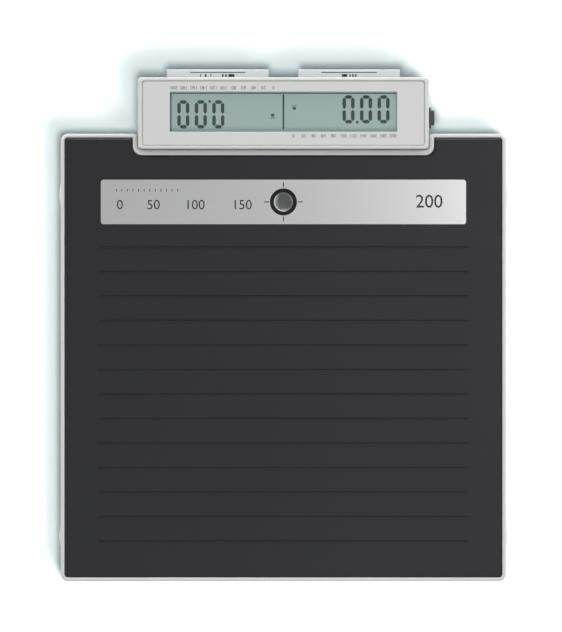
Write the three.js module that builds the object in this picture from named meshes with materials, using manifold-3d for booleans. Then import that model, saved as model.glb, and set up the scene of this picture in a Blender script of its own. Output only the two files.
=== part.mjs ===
// Flat floor scale for weighing people: a rubber-covered platform on four load cells, four
// levelling feet, a bubble level, and a display head that can be read from both sides.
// Millimetres, +Z up, +Y towards the display head. The floor is z = 0, under the middle.

import * as THREE from 'three';
import { mergeVertices } from 'three/addons/utils/BufferGeometryUtils.js';
import Module from 'manifold-3d';

const wasm = await Module();
wasm.setup();

// Fits
const fit = 0.3;                  // clearance between pieces that seat in each other
const sink = 0.5;                 // how far a boss reaches into the wall that it grows from
const past = 1;                   // how far a cutter runs past the face that it cuts

// Sides of a round face, by its size
const broad = 18;
const medium = 12;
const small = 8;
const pilot = 6;

// Footprint
const platformWidth = 311.8;
const platformDepth = 313.3;
const headEnd = 22.2;             // the head runs this far past each end of the display
const headDepth = 50.1;
const keyReach = 5.6;             // the keys stand this far behind the head
const headSetIn = 10.8;           // the head's front lies this far inside the platform's rear edge
const outerCorner = 5;

// Feet, from the floor up
const padHeight = 5.5;
const padRadius = 12;
const wheelGap = 0.5;
const wheelHeight = 7;
const wheelRadius = 26;
const wheelPeek = 1.6;            // how far a wheel shows past the side of the platform
const fluteCount = 24;
const fluteDepth = 0.9;
const wheelFlange = 1.4;          // the smooth lip above the flutes
const hubRadius = 8;
const studRadius = 4;
const studSocket = 2.8;           // depth of the stud's seat in the rubber pad
const frontFootInset = 31.2;
const rearFootInset = 42.6;

// Tray
const wheelHeadroom = 1.5;
const skirtDrop = 6.5;            // the skirt hangs this far below the tray's floor
const trayFloor = 2.5;
const trayWall = 2.5;
const trayInset = 1;
const archWidth = 36;
const archRadius = 3;
const postRadius = 4;
const screwPilot = 1.5;
const screwSink = 3.2;
const screwSinkDepth = 1.4;
const ribHeight = 3.5;
const ribWall = 1.6;
const frontRibGap = 14;           // from the front load cells to the first cross rib
const bayFrontRibGap = 16;        // from the battery bay forward to the second
const bayRearRibGap = 30;         // and back to the third

// Load cells, plate and mat
const cellHeadroom = 5;
const cellHeight = 14;
const cellDepth = 14;
const cellTail = 9.5;             // from the foot's centre out to the end of the beam
const cellShare = 0.46;           // share of the way from foot to middle that the beam reaches
const cellEyeRadius = 4.5;
const cellEyeNear = 17;
const cellEyeFar = 27;
const cellSlot = 4;
const padPlateLength = 25;
const padPlateDepth = 16;
const padPlateHeight = 4;
const cellScrewRadius = 2.1;
const cellScrewInset = 6.5;
const cellScrewPitch = 12;
const plateThickness = 3;
const matThickness = 2.6;

// Frame round the mat
const frameBand = 2.6;
const notchSideBand = 3.3;
const notchFloorBand = 3.8;
const notchGap = 0.4;             // between the frame's notch and the display head
const notchRoot = 3;
const notchTip = 2.2;
const frameRound = 1.8;
const trayEdge = 0.6;
const frameHeight = 19.6;
const frameSeam = 0.3;
const ledgeWidth = 11;
const ledgeThickness = 2.6;

// Mat relief and label plate
const treadCount = 13;
const treadWidth = 1.5;
const treadCrown = 0.8;
const treadHeight = 0.8;
const treadRearInset = 79.6;
const treadFrontInset = 27.9;
const treadEndInset = 26.7;
const matEdge = 0.7;
const labelEndInset = 27.9;
const labelDepth = 31.5;
const labelRearInset = 32;
const labelThickness = 1;
const labelPocket = 1.2;
const labelCorner = 2;

// Bubble level
const levelBarrel = 8.2;
const levelFlange = 9.45;
const levelEye = 7;
const levelFlangeHeight = 0.9;
const levelBarrelDepth = 8.4;
const levelLip = 1;
const levelNutRadius = 12;
const levelNutHeight = 2.8;
const vialWall = 1.1;
const vialHeight = 6.6;
const vialFloor = 1.4;
const vialGlass = 1.1;
const vialCrown = 0.25;
const bubbleRadius = 3.2;
const bubbleHeight = 1;

// Display head
const headRise = 12.4;            // the head's top above the mat
const headLift = 5.5;             // the head's underside above the tray's underside
const headBaseHeight = 8;
const headFloor = 2.2;
const headWall = 2;
const headCorner = 2.5;
const headEdge = 1.2;
const headLip = 1.2;
const headLipHeight = 1.8;
const rimSide = 2.8;
const rimEnd = 2.3;
const bezelThickness = 1.4;
const bezelDrop = 0.3;
const bezelEdge = 0.3;
const deckThickness = 2;
const lcdWidth = 159;
const lcdDepth = 28;
const lcdOffset = 0.95;           // the display's centre lies this far behind the head's centre
const lcdShoulder = 1.5;          // the opening in the deck is wider than the bezel's by this
const lcdBorder = 3.3;            // the glass is wider than the view by this
const lcdThickness = 2.5;
const windowThickness = 1.4;
const stripHeight = 5.9;
const stripWidth = 2.5;
const stripInset = 0.3;
const stripEndGap = 8;
const boardThickness = 1.6;
const boardEndGap = 2.7;
const boardRearGap = 4;
const boardFrontGap = 3.6;
const boardPostRadius = 3.5;
const boardPostEndInset = 13.7;
const boardPostFront = 8.6;
const boardPostRear = 34.6;
const holderWall = 1.8;
const holderLedge = 5;
const holderLedgeHeight = 2;
const chipSize = 14;
const chipThickness = 1.5;
const chipEdge = 0.25;
const chipX = -30;
const chipSetForward = 4;
const tongueWidth = 20;
const tongueHeight = 4.6;
const tongueReach = 24;
const tongueOffset = 72;
const tongueBossInset = 3;
const tongueBossDepth = 14;

// Keys
const keyLength = 71;
const keyOffset = 46;
const keyGap = 0.5;
const keyWall = 1.8;
const keyDrop = 1.4;              // fall of the face from the head to the rear
const keyEdge = 0.9;              // rounding of its rear edge
const keyFootLift = 4.5;          // lower edge of the keys above the head's parting line
const keyHeadroom = 0.6;
const keyLipOverlap = 1.4;
const keyLipHeight = 8;
const keyLipThickness = 1.2;
const keyArmWidth = 6;
const keyArmOffset = 24;
const keyArmThickness = 2.4;
const keyPivotLift = 5;
const keyPivotInset = 5;
const keyPinRadius = 1.5;
const keyPinLength = 12;
const saddleWidth = 2.2;
const saddleHalf = 2.6;
const keySwitchLift = 18;
const keyPlungerRadius = 2.5;
const keyTravelGap = 0.95;
const switchBody = 6;
const switchDepth = 2.8;
const switchStemRadius = 1.6;
const switchStem = 0.5;
const keyBoardInset = 9.9;
const keyBoardHeight = 21;
const keyBoardEndGap = 16;

// Supply socket and its bung, on the right side of the head
const socketOffset = 21.95;       // behind the head's front
const socketWidth = 9;
const socketHeight = 10.6;
const socketLength = 13;
const socketBore = 3.1;
const socketBoreDepth = 9;
const socketPin = 1;
const bungFlangeWidth = 14.7;
const bungFlangeHeight = 11;
const bungFlangeThickness = 1.4;
const bungGripWidth = 10.5;
const bungGripHeight = 7.6;
const bungGripThickness = 2.3;
const bungPlugRadius = 2.7;
const bungPlugHollow = 1.4;
const bungPlugLength = 8.2;
const bungShoulderRadius = 4.2;

// Batteries
const cellCaseRadius = 7.25;
const cellCaseLength = 49.2;
const cellNubRadius = 2.75;
const cellNubHeight = 1.3;
const batteryRows = 3;
const batteryPitch = 15.3;
const bayY = -30;
const bayWall = 2;
const baySide = 1.1;
const bayContact = 6.9;
const bayRoofGap = 1.35;
const contactBoardThickness = 1.2;
const contactBoardHeight = 13;
const contactBase = 4.4;
const contactTip = 2.6;
const doorThickness = 2.2;
const doorCellGap = 0.85;         // between the closed door and the cells
const doorGap = 0.5;
const doorPivotGap = 2.9;
const doorSwingGap = 0.9;         // behind the pins, for the arms' heels to turn in
const doorPivotLift = 1.7;
const doorPin = 1;
const doorPinLength = 14;
const doorArmWidth = 8;
const doorArmOffset = 38;
const doorEar = 4;
const doorEarHeight = 1.9;
const doorEarHalf = 2.4;
const doorRibInset = 6;
const doorRibRise = 0.5;
const gripHalf = 12;               // the finger ridges on the door
const gripInset = 7;
const gripPitch = 1.6;
const gripWidth = 0.8;
const gripDepth = 0.5;
const doorRib = 1;

// Wiring
const leadRadius = 1.5;
const leadExit = 6;               // the lead leaves the beam's side this far from its inner end
const leadLane = 6;               // the leads run this far beside the battery bay
const harnessRadius = 2.2;
const junctionWidth = 64;
const junctionDepth = 28;
const junctionY = 50;
const junctionLift = 4.5;
const junctionPostInset = 4;
const junctionPostRadius = 3;

// Heights worked out from the stack
const wheelBottom = padHeight + wheelGap;
const wheelTop = wheelBottom + wheelHeight;
const trayUnder = wheelTop + wheelHeadroom;
const skirtBottom = trayUnder - skirtDrop;
const floorTop = trayUnder + trayFloor;
const cellBottom = floorTop + cellHeadroom;
const cellTop = cellBottom + cellHeight;
const plateBottom = cellTop + padPlateHeight;
const plateTop = plateBottom + plateThickness;
const platformTop = plateTop + matThickness;
const frameBottom = platformTop - frameHeight;
const ledgeUnder = plateBottom - ledgeThickness;
const hubTop = cellBottom - fit;
const labelFloor = platformTop - labelPocket;
const labelTop = labelFloor + labelThickness;

const headTop = platformTop + headRise;
const headBottom = trayUnder + headLift;
const headParting = headBottom + headBaseHeight;
const deckTop = headTop - bezelDrop - bezelThickness;
const deckUnder = deckTop - deckThickness;
const lcdTop = deckUnder - fit;
const lcdUnder = lcdTop - lcdThickness;
const boardTop = lcdUnder - stripHeight;
const boardUnder = boardTop - boardThickness;

// Places worked out from the footprint
const keyRear = (platformDepth - headSetIn + headDepth + keyReach) / 2;
const front = -keyRear;
const rear = front + platformDepth;
const headFront = rear - headSetIn;
const headRear = headFront + headDepth;
const headHalf = lcdWidth / 2 + headEnd;
const platformHalf = platformWidth / 2;
const notchHalf = headHalf + notchGap;
const notchFloor = headFront - notchGap;
const footX = platformHalf + wheelPeek - wheelRadius;
const cellReach = cellShare * footX;
const frontFootY = front + frontFootInset;
const rearFootY = rear - rearFootInset;
const labelY = rear - labelRearInset - labelDepth / 2;
const labelWidth = platformWidth - 2 * labelEndInset;
const treadLength = platformWidth - 2 * treadEndInset;
const treadPitch = (platformDepth - treadRearInset - treadFrontInset) / (treadCount - 1);
const lcdY = (headFront + headRear) / 2 + lcdOffset;
const socketY = headFront + socketOffset;
const socketZ = boardUnder - socketHeight / 2;

const corners = [
  { name: 'front_left', side: -1, y: frontFootY },
  { name: 'front_right', side: 1, y: frontFootY },
  { name: 'rear_left', side: -1, y: rearFootY },
  { name: 'rear_right', side: 1, y: rearFootY },
];
const hands = [
  { name: 'left', side: -1 },
  { name: 'right', side: 1 },
];

// Finishes
function finish(color, roughness, metalness = 0, opacity = 1) {
  return new THREE.MeshStandardMaterial({
    color, roughness, metalness, opacity, transparent: opacity < 1,
  });
}
const finishes = {
  shell: finish('#d2d2d0', 0.45),
  bezel: finish('#cfcfce', 0.4),
  mat: finish('#33343a', 0.85),
  foot: finish('#26272a', 0.9),
  tray: finish('#c9c9c8', 0.55),
  wheel: finish('#d6d6d4', 0.5),
  steel: finish('#9a9da0', 0.45, 1),
  plated: finish('#c4c6c8', 0.25, 1),
  aluminium: finish('#b9bbbb', 0.35, 1),
  black: finish('#1c1d1f', 0.5),
  clear: finish('#eef4f4', 0.05, 0, 0.25),
  lcd: finish('#97aaa8', 0.2),
  fluid: finish('#8f9292', 0.1, 0, 0.6),
  bubble: finish('#f1f3f3', 0.05, 0, 0.5),
  vial: finish('#6f7274', 0.4),
  board: finish('#1f6b45', 0.5),
  strip: finish('#c9a6a6', 0.8),
  battery: finish('#2f4f7d', 0.35),
  lead: finish('#4a4b4e', 0.7),
};

// Outlines. Each corner is [x, y, radius]; the corners run anticlockwise.
function rounded(points) {
  const shape = new THREE.Shape();
  points.forEach(([x, y, radius], i) => {
    const here = new THREE.Vector2(x, y);
    const before = points[(i + points.length - 1) % points.length];
    const after = points[(i + 1) % points.length];
    const back = new THREE.Vector2(before[0] - x, before[1] - y).normalize();
    const on = new THREE.Vector2(after[0] - x, after[1] - y).normalize();
    const half = Math.acos(back.dot(on)) / 2;
    const start = here.clone().addScaledVector(back, radius / Math.tan(half));
    const middle = back.clone().add(on).normalize().multiplyScalar(radius / Math.sin(half)).add(here);
    const end = here.clone().addScaledVector(on, radius / Math.tan(half));
    const hollow = back.cross(on) > 0;
    if (i === 0) shape.moveTo(start.x, start.y);
    else shape.lineTo(start.x, start.y);
    if (radius > 0) {
      const from = Math.atan2(start.y - middle.y, start.x - middle.x);
      const to = Math.atan2(end.y - middle.y, end.x - middle.x);
      shape.absarc(middle.x, middle.y, radius, from, to, hollow);
    }
  });
  shape.closePath();
  return shape;
}

function rectangle(x0, x1, y0, y1, radius = 0) {
  return rounded([[x0, y0, radius], [x1, y0, radius], [x1, y1, radius], [x0, y1, radius]]);
}

// The platform seen from above, drawn in by an inset, with the notch for the display head.
function platformOutline(inset, sideBand = inset, floorBand = inset) {
  const x = platformHalf - inset;
  const y0 = front + inset;
  const y1 = rear - inset;
  const nx = notchHalf + sideBand;
  const ny = notchFloor - floorBand;
  const outer = Math.max(outerCorner - inset, 1.5);
  const tip = notchTip;
  const root = notchRoot + Math.min(sideBand, notchSideBand);
  return rounded([
    [-x, y0, outer], [x, y0, outer], [x, y1, outer], [nx, y1, tip],
    [nx, ny, root], [-nx, ny, root], [-nx, y1, tip], [-x, y1, outer],
  ]);
}

// Solids
function solid(geometry) {
  const bare = geometry.clone();
  bare.deleteAttribute('normal');
  bare.deleteAttribute('uv');
  const merged = mergeVertices(bare, 1e-4);
  const index = merged.index.array;
  const triangles = [];
  for (let i = 0; i < index.length; i += 3) {
    const [a, b, c] = [index[i], index[i + 1], index[i + 2]];
    if (a !== b && b !== c && a !== c) triangles.push(a, b, c);
  }
  return new wasm.Manifold(new wasm.Mesh({
    numProp: 3,
    vertProperties: new Float32Array(merged.attributes.position.array),
    triVerts: new Uint32Array(triangles),
  }));
}

function surface(body) {
  const found = body.getMesh();
  const geometry = new THREE.BufferGeometry();
  geometry.setAttribute('position', new THREE.BufferAttribute(new Float32Array(found.vertProperties), 3));
  geometry.setIndex(new THREE.BufferAttribute(new Uint32Array(found.triVerts), 1));
  geometry.computeVertexNormals();
  return geometry;
}

function joined(...bodies) {
  return bodies.flat().reduce((whole, next) => whole.add(next));
}

function cut(body, ...tools) {
  return tools.flat().reduce((left, tool) => left.subtract(tool), body);
}

function box(x0, x1, y0, y1, z0, z1) {
  const geometry = new THREE.BoxGeometry(Math.abs(x1 - x0), Math.abs(y1 - y0), Math.abs(z1 - z0));
  geometry.translate((x0 + x1) / 2, (y0 + y1) / 2, (z0 + z1) / 2);
  return solid(geometry);
}

function slab(shape, z0, z1, arcSteps = 2) {
  const geometry = new THREE.ExtrudeGeometry(shape, {
    depth: z1 - z0, bevelEnabled: false, curveSegments: arcSteps,
  });
  geometry.translate(0, 0, z0);
  return solid(geometry);
}

// A slab with its top edge eased, and its lower edge too if asked: a chamfer in one step, or a
// round in more.
function easedSlab(shape, z0, z1, edge, { bottomToo = false, arcSteps = 2, edgeSteps = 1 } = {}) {
  const low = bottomToo ? z0 : z0 - edge - past;
  const geometry = new THREE.ExtrudeGeometry(shape, {
    depth: z1 - low - 2 * edge,
    bevelEnabled: true,
    bevelThickness: edge,
    bevelSize: edge,
    bevelOffset: -edge,
    bevelSegments: edgeSteps,
    curveSegments: arcSteps,
  });
  geometry.translate(0, 0, low + edge);
  const body = solid(geometry);
  if (bottomToo) return body;
  const reach = 2 * (platformWidth + platformDepth);
  return cut(body, box(-reach, reach, -reach, reach, low - past, z0));
}

// A profile in Y and Z, run along X.
function alongX(points, x0, x1) {
  const profile = new THREE.Shape(points.map(([y, z]) => new THREE.Vector2(y, z)));
  const geometry = new THREE.ExtrudeGeometry(profile, { depth: x1 - x0, bevelEnabled: false });
  const turn = new THREE.Matrix4().makeBasis(
    new THREE.Vector3(0, 1, 0), new THREE.Vector3(0, 0, 1), new THREE.Vector3(1, 0, 0),
  );
  geometry.applyMatrix4(turn);
  geometry.translate(x0, 0, 0);
  return solid(geometry);
}

function disc(x, y, radius, z0, z1, sides = medium) {
  const geometry = new THREE.CylinderGeometry(radius, radius, z1 - z0, sides);
  geometry.rotateX(Math.PI / 2);
  geometry.translate(x, y, (z0 + z1) / 2);
  return solid(geometry);
}

function rodX(y, z, radius, x0, x1, sides = medium) {
  const geometry = new THREE.CylinderGeometry(radius, radius, x1 - x0, sides);
  geometry.rotateZ(-Math.PI / 2);
  geometry.translate((x0 + x1) / 2, y, z);
  return solid(geometry);
}

function rodY(x, z, radius, y0, y1, sides = medium) {
  const geometry = new THREE.CylinderGeometry(radius, radius, y1 - y0, sides);
  geometry.translate(x, (y0 + y1) / 2, z);
  return solid(geometry);
}

// A turned solid about Z. The profile's points are [radius, z], from the lowest to the highest,
// or once round a ring.
function turned(points, sides = broad) {
  const geometry = new THREE.LatheGeometry(points.map(([r, z]) => new THREE.Vector2(r, z)), sides);
  geometry.rotateX(Math.PI / 2);
  return solid(geometry);
}

function ring(inner, outer, z0, z1, sides = broad) {
  return turned([[inner, z0], [outer, z0], [outer, z1], [inner, z1], [inner, z0]], sides);
}

function tube(points, radius, steps, sides = 6) {
  const section = new THREE.Shape();
  for (let i = 0; i < sides; i += 1) {
    const angle = (i / sides) * 2 * Math.PI;
    const x = radius * Math.cos(angle);
    const y = radius * Math.sin(angle);
    if (i === 0) section.moveTo(x, y);
    else section.lineTo(x, y);
  }
  section.closePath();
  const path = new THREE.CatmullRomCurve3(points.map(([x, y, z]) => new THREE.Vector3(x, y, z)));
  return solid(new THREE.ExtrudeGeometry(section, { steps, extrudePath: path, bevelEnabled: false }));
}

function piece(name, body, material) {
  const mesh = new THREE.Mesh(surface(body), material);
  mesh.name = name;
  return mesh;
}

// Frame round the mat: outer wall, notch for the head, and the ledge that the plate lies on.
function topFrame() {
  const outside = easedSlab(platformOutline(0), frameBottom, platformTop, frameRound, { edgeSteps: 3 });
  const matEdgeLine = platformOutline(frameBand, notchSideBand, notchFloorBand);
  const inner = frameBand + ledgeWidth;
  const ledgeRear = notchFloor - notchFloorBand - ledgeWidth;
  const ledgeEdge = rectangle(-platformHalf + inner, platformHalf - inner, front + inner, ledgeRear);
  return cut(
    outside,
    slab(matEdgeLine, plateBottom, platformTop + past),
    slab(matEdgeLine, frameBottom - past, ledgeUnder),
    slab(ledgeEdge, ledgeUnder - past, plateBottom + past),
    postPlaces().map(([x, y]) => disc(x, y, screwPilot + fit, ledgeUnder - past, plateBottom + past, pilot)),
    harnessHole(notchFloor - notchFloorBand - past, notchFloor + past),
  );
}

// The harness leaves through one round hole, half in the frame and half in the tray.
function harnessHole(y0, y1) {
  return rodY(0, harnessZ, harnessRadius + 0.6, y0, y1, small);
}

// Where screws join the tray, the frame's ledge and the plate.
function postPlaces() {
  const x = platformHalf - frameBand - ledgeWidth / 2;
  const middleY = (frontFootY + rearFootY) / 2;
  const sides = [front + frameBand + ledgeWidth / 2, middleY, rear - frameBand - ledgeWidth / 2];
  const places = sides.flatMap((y) => [[-x, y], [x, y]]);
  const along = platformWidth / 6;
  const frontY = front + frameBand + ledgeWidth / 2;
  const notchY = notchFloor - notchFloorBand - ledgeWidth / 2;
  return [...places, [-along, frontY], [along, frontY], [-along / 2, notchY], [along / 2, notchY]];
}

function platformPlate() {
  const outline = platformOutline(frameBand + fit, notchSideBand + fit, notchFloorBand + fit);
  const pads = corners.map(({ side, y }) => {
    const inner = side * (footX - cellReach);
    return box(
      inner, inner + side * padPlateLength,
      y - padPlateDepth / 2, y + padPlateDepth / 2,
      cellTop, plateBottom + sink,
    );
  });
  const screws = corners.flatMap(({ side, y }) => [0, 1].map((i) => {
    const x = side * (footX - cellReach + cellScrewInset + i * cellScrewPitch);
    return disc(x, y, cellScrewRadius + fit, cellTop - past, plateTop + past, pilot);
  }));
  return cut(
    joined(slab(outline, plateBottom, plateTop), pads),
    disc(0, labelY, levelBarrel + fit, plateBottom - past, plateTop + past),
    screws,
  );
}

// The mat has low treads across the standing area, and a pocket for the label plate.
function rubberMat() {
  const outline = platformOutline(frameBand + fit, notchSideBand + fit, notchFloorBand + fit);
  const pocket = rectangle(
    -labelWidth / 2 - fit, labelWidth / 2 + fit,
    labelY - labelDepth / 2 - fit, labelY + labelDepth / 2 + fit, labelCorner + fit,
  );
  const section = (y) => [
    [y - treadWidth / 2, platformTop - sink],
    [y + treadWidth / 2, platformTop - sink],
    [y + treadWidth / 2, platformTop + treadHeight / 3],
    [y + treadCrown / 2, platformTop + treadHeight],
    [y - treadCrown / 2, platformTop + treadHeight],
    [y - treadWidth / 2, platformTop + treadHeight / 3],
  ];
  const treads = Array.from({ length: treadCount }, (_, i) => {
    const y = rear - treadRearInset - i * treadPitch;
    return alongX(section(y), -treadLength / 2, treadLength / 2);
  });
  return joined(
    cut(
      easedSlab(outline, plateTop, platformTop, matEdge),
      slab(pocket, labelFloor, platformTop + past),
      disc(0, labelY, levelBarrel + fit, plateTop - past, platformTop + past),
    ),
    treads,
  );
}

function labelPlate() {
  const outline = rectangle(
    -labelWidth / 2, labelWidth / 2, labelY - labelDepth / 2, labelY + labelDepth / 2, labelCorner,
  );
  return cut(
    slab(outline, labelFloor, labelTop),
    disc(0, labelY, levelBarrel + fit, labelFloor - past, labelTop + past),
  );
}

// Bubble level, about its own axis: a collar through the plate, held by a nut from below, with
// the vial on the collar's inner lip.
function bubbleLevel() {
  const barrelFoot = labelTop - levelBarrelDepth;
  const vialFoot = barrelFoot + levelLip;
  const vialTop = vialFoot + vialHeight;
  const vialRadius = levelEye - fit;
  const bore = vialRadius - vialWall;
  const group = new THREE.Group();
  group.position.set(0, labelY, 0);
  const collar = turned([
    [levelEye - levelLip, barrelFoot], [levelBarrel, barrelFoot], [levelBarrel, labelTop],
    [levelFlange, labelTop], [levelFlange, labelTop + levelFlangeHeight * 0.5],
    [levelFlange - 0.4, labelTop + levelFlangeHeight], [levelEye + 0.3, labelTop + levelFlangeHeight],
    [levelEye, labelTop + levelFlangeHeight * 0.6], [levelEye, vialFoot],
    [levelEye - levelLip, vialFoot], [levelEye - levelLip, barrelFoot],
  ]);
  const vial = turned([
    [0, vialFoot], [vialRadius, vialFoot], [vialRadius, vialTop], [bore, vialTop],
    [bore, vialFoot + vialFloor], [0, vialFoot + vialFloor],
  ]);
  const fluidTop = vialTop - fit;
  const fluid = turned([
    [0, vialFoot + vialFloor + fit], [bore - fit, vialFoot + vialFloor + fit], [bore - fit, fluidTop],
    [bubbleRadius + fit, fluidTop], [bubbleRadius + fit, fluidTop - bubbleHeight / 2],
    [bubbleRadius / 2, fluidTop - bubbleHeight - fit], [0, fluidTop - bubbleHeight - fit],
  ]);
  const bubble = turned([
    [0, fluidTop - bubbleHeight], [bubbleRadius * 0.5, fluidTop - bubbleHeight * 0.9],
    [bubbleRadius, fluidTop - bubbleHeight * 0.3], [bubbleRadius * 0.9, fluidTop], [0, fluidTop],
  ], medium);
  const glass = turned([
    [0, vialTop], [vialRadius, vialTop], [vialRadius, vialTop + vialGlass - vialCrown],
    [vialRadius * 0.6, vialTop + vialGlass - vialCrown * 0.3], [0, vialTop + vialGlass],
  ]);
  const nut = ring(levelBarrel + fit, levelNutRadius, plateBottom - levelNutHeight, plateBottom);
  group.add(
    piece('level_collar', collar, finishes.black),
    piece('level_vial', vial, finishes.vial),
    piece('level_fluid', fluid, finishes.fluid),
    piece('level_bubble', bubble, finishes.bubble),
    piece('level_glass', glass, finishes.clear),
    piece('level_nut', nut, finishes.plated),
  );
  return group;
}

// A bending-beam load cell: the eyes and slot leave the thin webs that the gauges sit on.
function loadCell(side) {
  const inner = -side * cellReach;
  const middle = (cellBottom + cellTop) / 2;
  const half = cellDepth / 2;
  const eyes = [cellEyeNear, cellEyeFar].map((x) => (
    rodY(-side * x, middle, cellEyeRadius, -half - past, half + past, 10)
  ));
  const slot = box(
    -side * cellEyeNear, -side * cellEyeFar, -half - past, half + past,
    middle - cellSlot / 2, middle + cellSlot / 2,
  );
  const screws = [0, 1].map((i) => {
    const x = inner + side * (cellScrewInset + i * cellScrewPitch);
    return disc(x, 0, cellScrewRadius, middle, cellTop + past, pilot);
  });
  return cut(
    box(inner, side * cellTail, -half, half, cellBottom, cellTop),
    eyes, slot, screws,
    disc(0, 0, studRadius + fit, cellBottom - past, cellTop + past),
  );
}

// A levelling foot about its own axis: the rubber pad stays still while the fluted wheel and
// its stud turn in the load cell.
function footPad() {
  return turned([
    [0, 0], [padRadius - 0.8, 0], [padRadius, 0.8], [padRadius, padHeight * 0.4],
    [padRadius * 0.8, padHeight], [studRadius + fit, padHeight],
    [studRadius + fit, padHeight - studSocket], [0, padHeight - studSocket],
  ], 16);
}

function wheelOutline(depth) {
  const shape = new THREE.Shape();
  for (let i = 0; i < 2 * fluteCount; i += 1) {
    const angle = (i / (2 * fluteCount)) * 2 * Math.PI;
    const radius = i % 2 === 0 ? wheelRadius : wheelRadius - depth;
    if (i === 0) shape.moveTo(radius, 0);
    else shape.lineTo(radius * Math.cos(angle), radius * Math.sin(angle));
  }
  shape.closePath();
  return shape;
}

function footWheel() {
  const dish = ring(hubRadius + 2, wheelRadius - 5, wheelBottom - past, wheelBottom + wheelHeight * 0.35, 18);
  return cut(
    joined(
      slab(wheelOutline(fluteDepth), wheelBottom, wheelTop),
      slab(wheelOutline(0), wheelTop - wheelFlange, wheelTop),
      disc(0, 0, hubRadius, wheelTop - sink, hubTop),
    ),
    dish,
    disc(0, 0, studRadius + fit, wheelBottom - past, hubTop + past),
  );
}

function footStud() {
  const foot = padHeight - studSocket + fit;
  const top = cellTop - 3;
  return turned([
    [0, foot], [studRadius * 0.5, foot], [studRadius, foot + studRadius * 0.3],
    [studRadius, top - 0.8], [studRadius - 0.8, top], [0, top],
  ], medium);
}

// Battery bay: walls and roof, open below, in the middle of the tray.
const cellRowLength = 2 * (cellCaseLength + cellNubHeight) + fit;
const bayHalfX = cellRowLength / 2 + bayContact;
const bayHalfY = ((batteryRows - 1) * batteryPitch) / 2 + cellCaseRadius + baySide;
const cellZ = trayUnder + doorThickness + doorCellGap + cellCaseRadius;
const bayRoof = cellZ + cellCaseRadius + bayRoofGap;
const doorPivotY = bayY + bayHalfY + doorPivotGap;
const doorPivotZ = trayUnder + doorPivotLift;

function arch(side, y) {
  const out = platformHalf + past;
  const inner = platformHalf - trayInset - trayWall - past;
  const top = trayUnder - fit;
  const half = archWidth / 2;
  const points = [
    [y - half, skirtBottom - past], [y + half, skirtBottom - past],
    [y + half, top - archRadius], [y + half - archRadius * 0.3, top - archRadius * 0.3],
    [y + half - archRadius, top], [y - half + archRadius, top],
    [y - half + archRadius * 0.3, top - archRadius * 0.3], [y - half, top - archRadius],
  ];
  return side > 0 ? alongX(points, inner, out) : alongX(points, -out, -inner);
}

function tongueBoss(side) {
  const x = side * tongueOffset;
  const y1 = headFront - tongueReach + tongueBossInset + tongueBossDepth;
  return box(
    x - tongueWidth / 2, x + tongueWidth / 2, y1 - tongueBossDepth, y1, floorTop - sink, headBottom,
  );
}

function tongueScrew(side, radius, z0, z1) {
  const y = headFront - tongueReach + tongueBossInset + tongueBossDepth / 2;
  return disc(side * tongueOffset, y, radius, z0, z1, small);
}

function trayRibs() {
  const inside = platformHalf - trayInset - trayWall;
  const low = front + trayInset + trayWall;
  const lines = [
    frontFootY + cellDepth + frontRibGap, bayY - bayHalfY - bayFrontRibGap, bayY + bayHalfY + bayRearRibGap,
  ];
  const across = lines.map((y) => box(
    -inside - sink, inside + sink, y - ribWall / 2, y + ribWall / 2, floorTop - sink, floorTop + ribHeight,
  ));
  const along = [-1, 1].map((side) => {
    const x = (side * (bayHalfX + bayWall + inside)) / 2;
    return box(
      x - ribWall / 2, x + ribWall / 2, low - sink, lines[2] + ribWall / 2,
      floorTop - sink, floorTop + ribHeight,
    );
  });
  return [...across, ...along];
}

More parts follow.
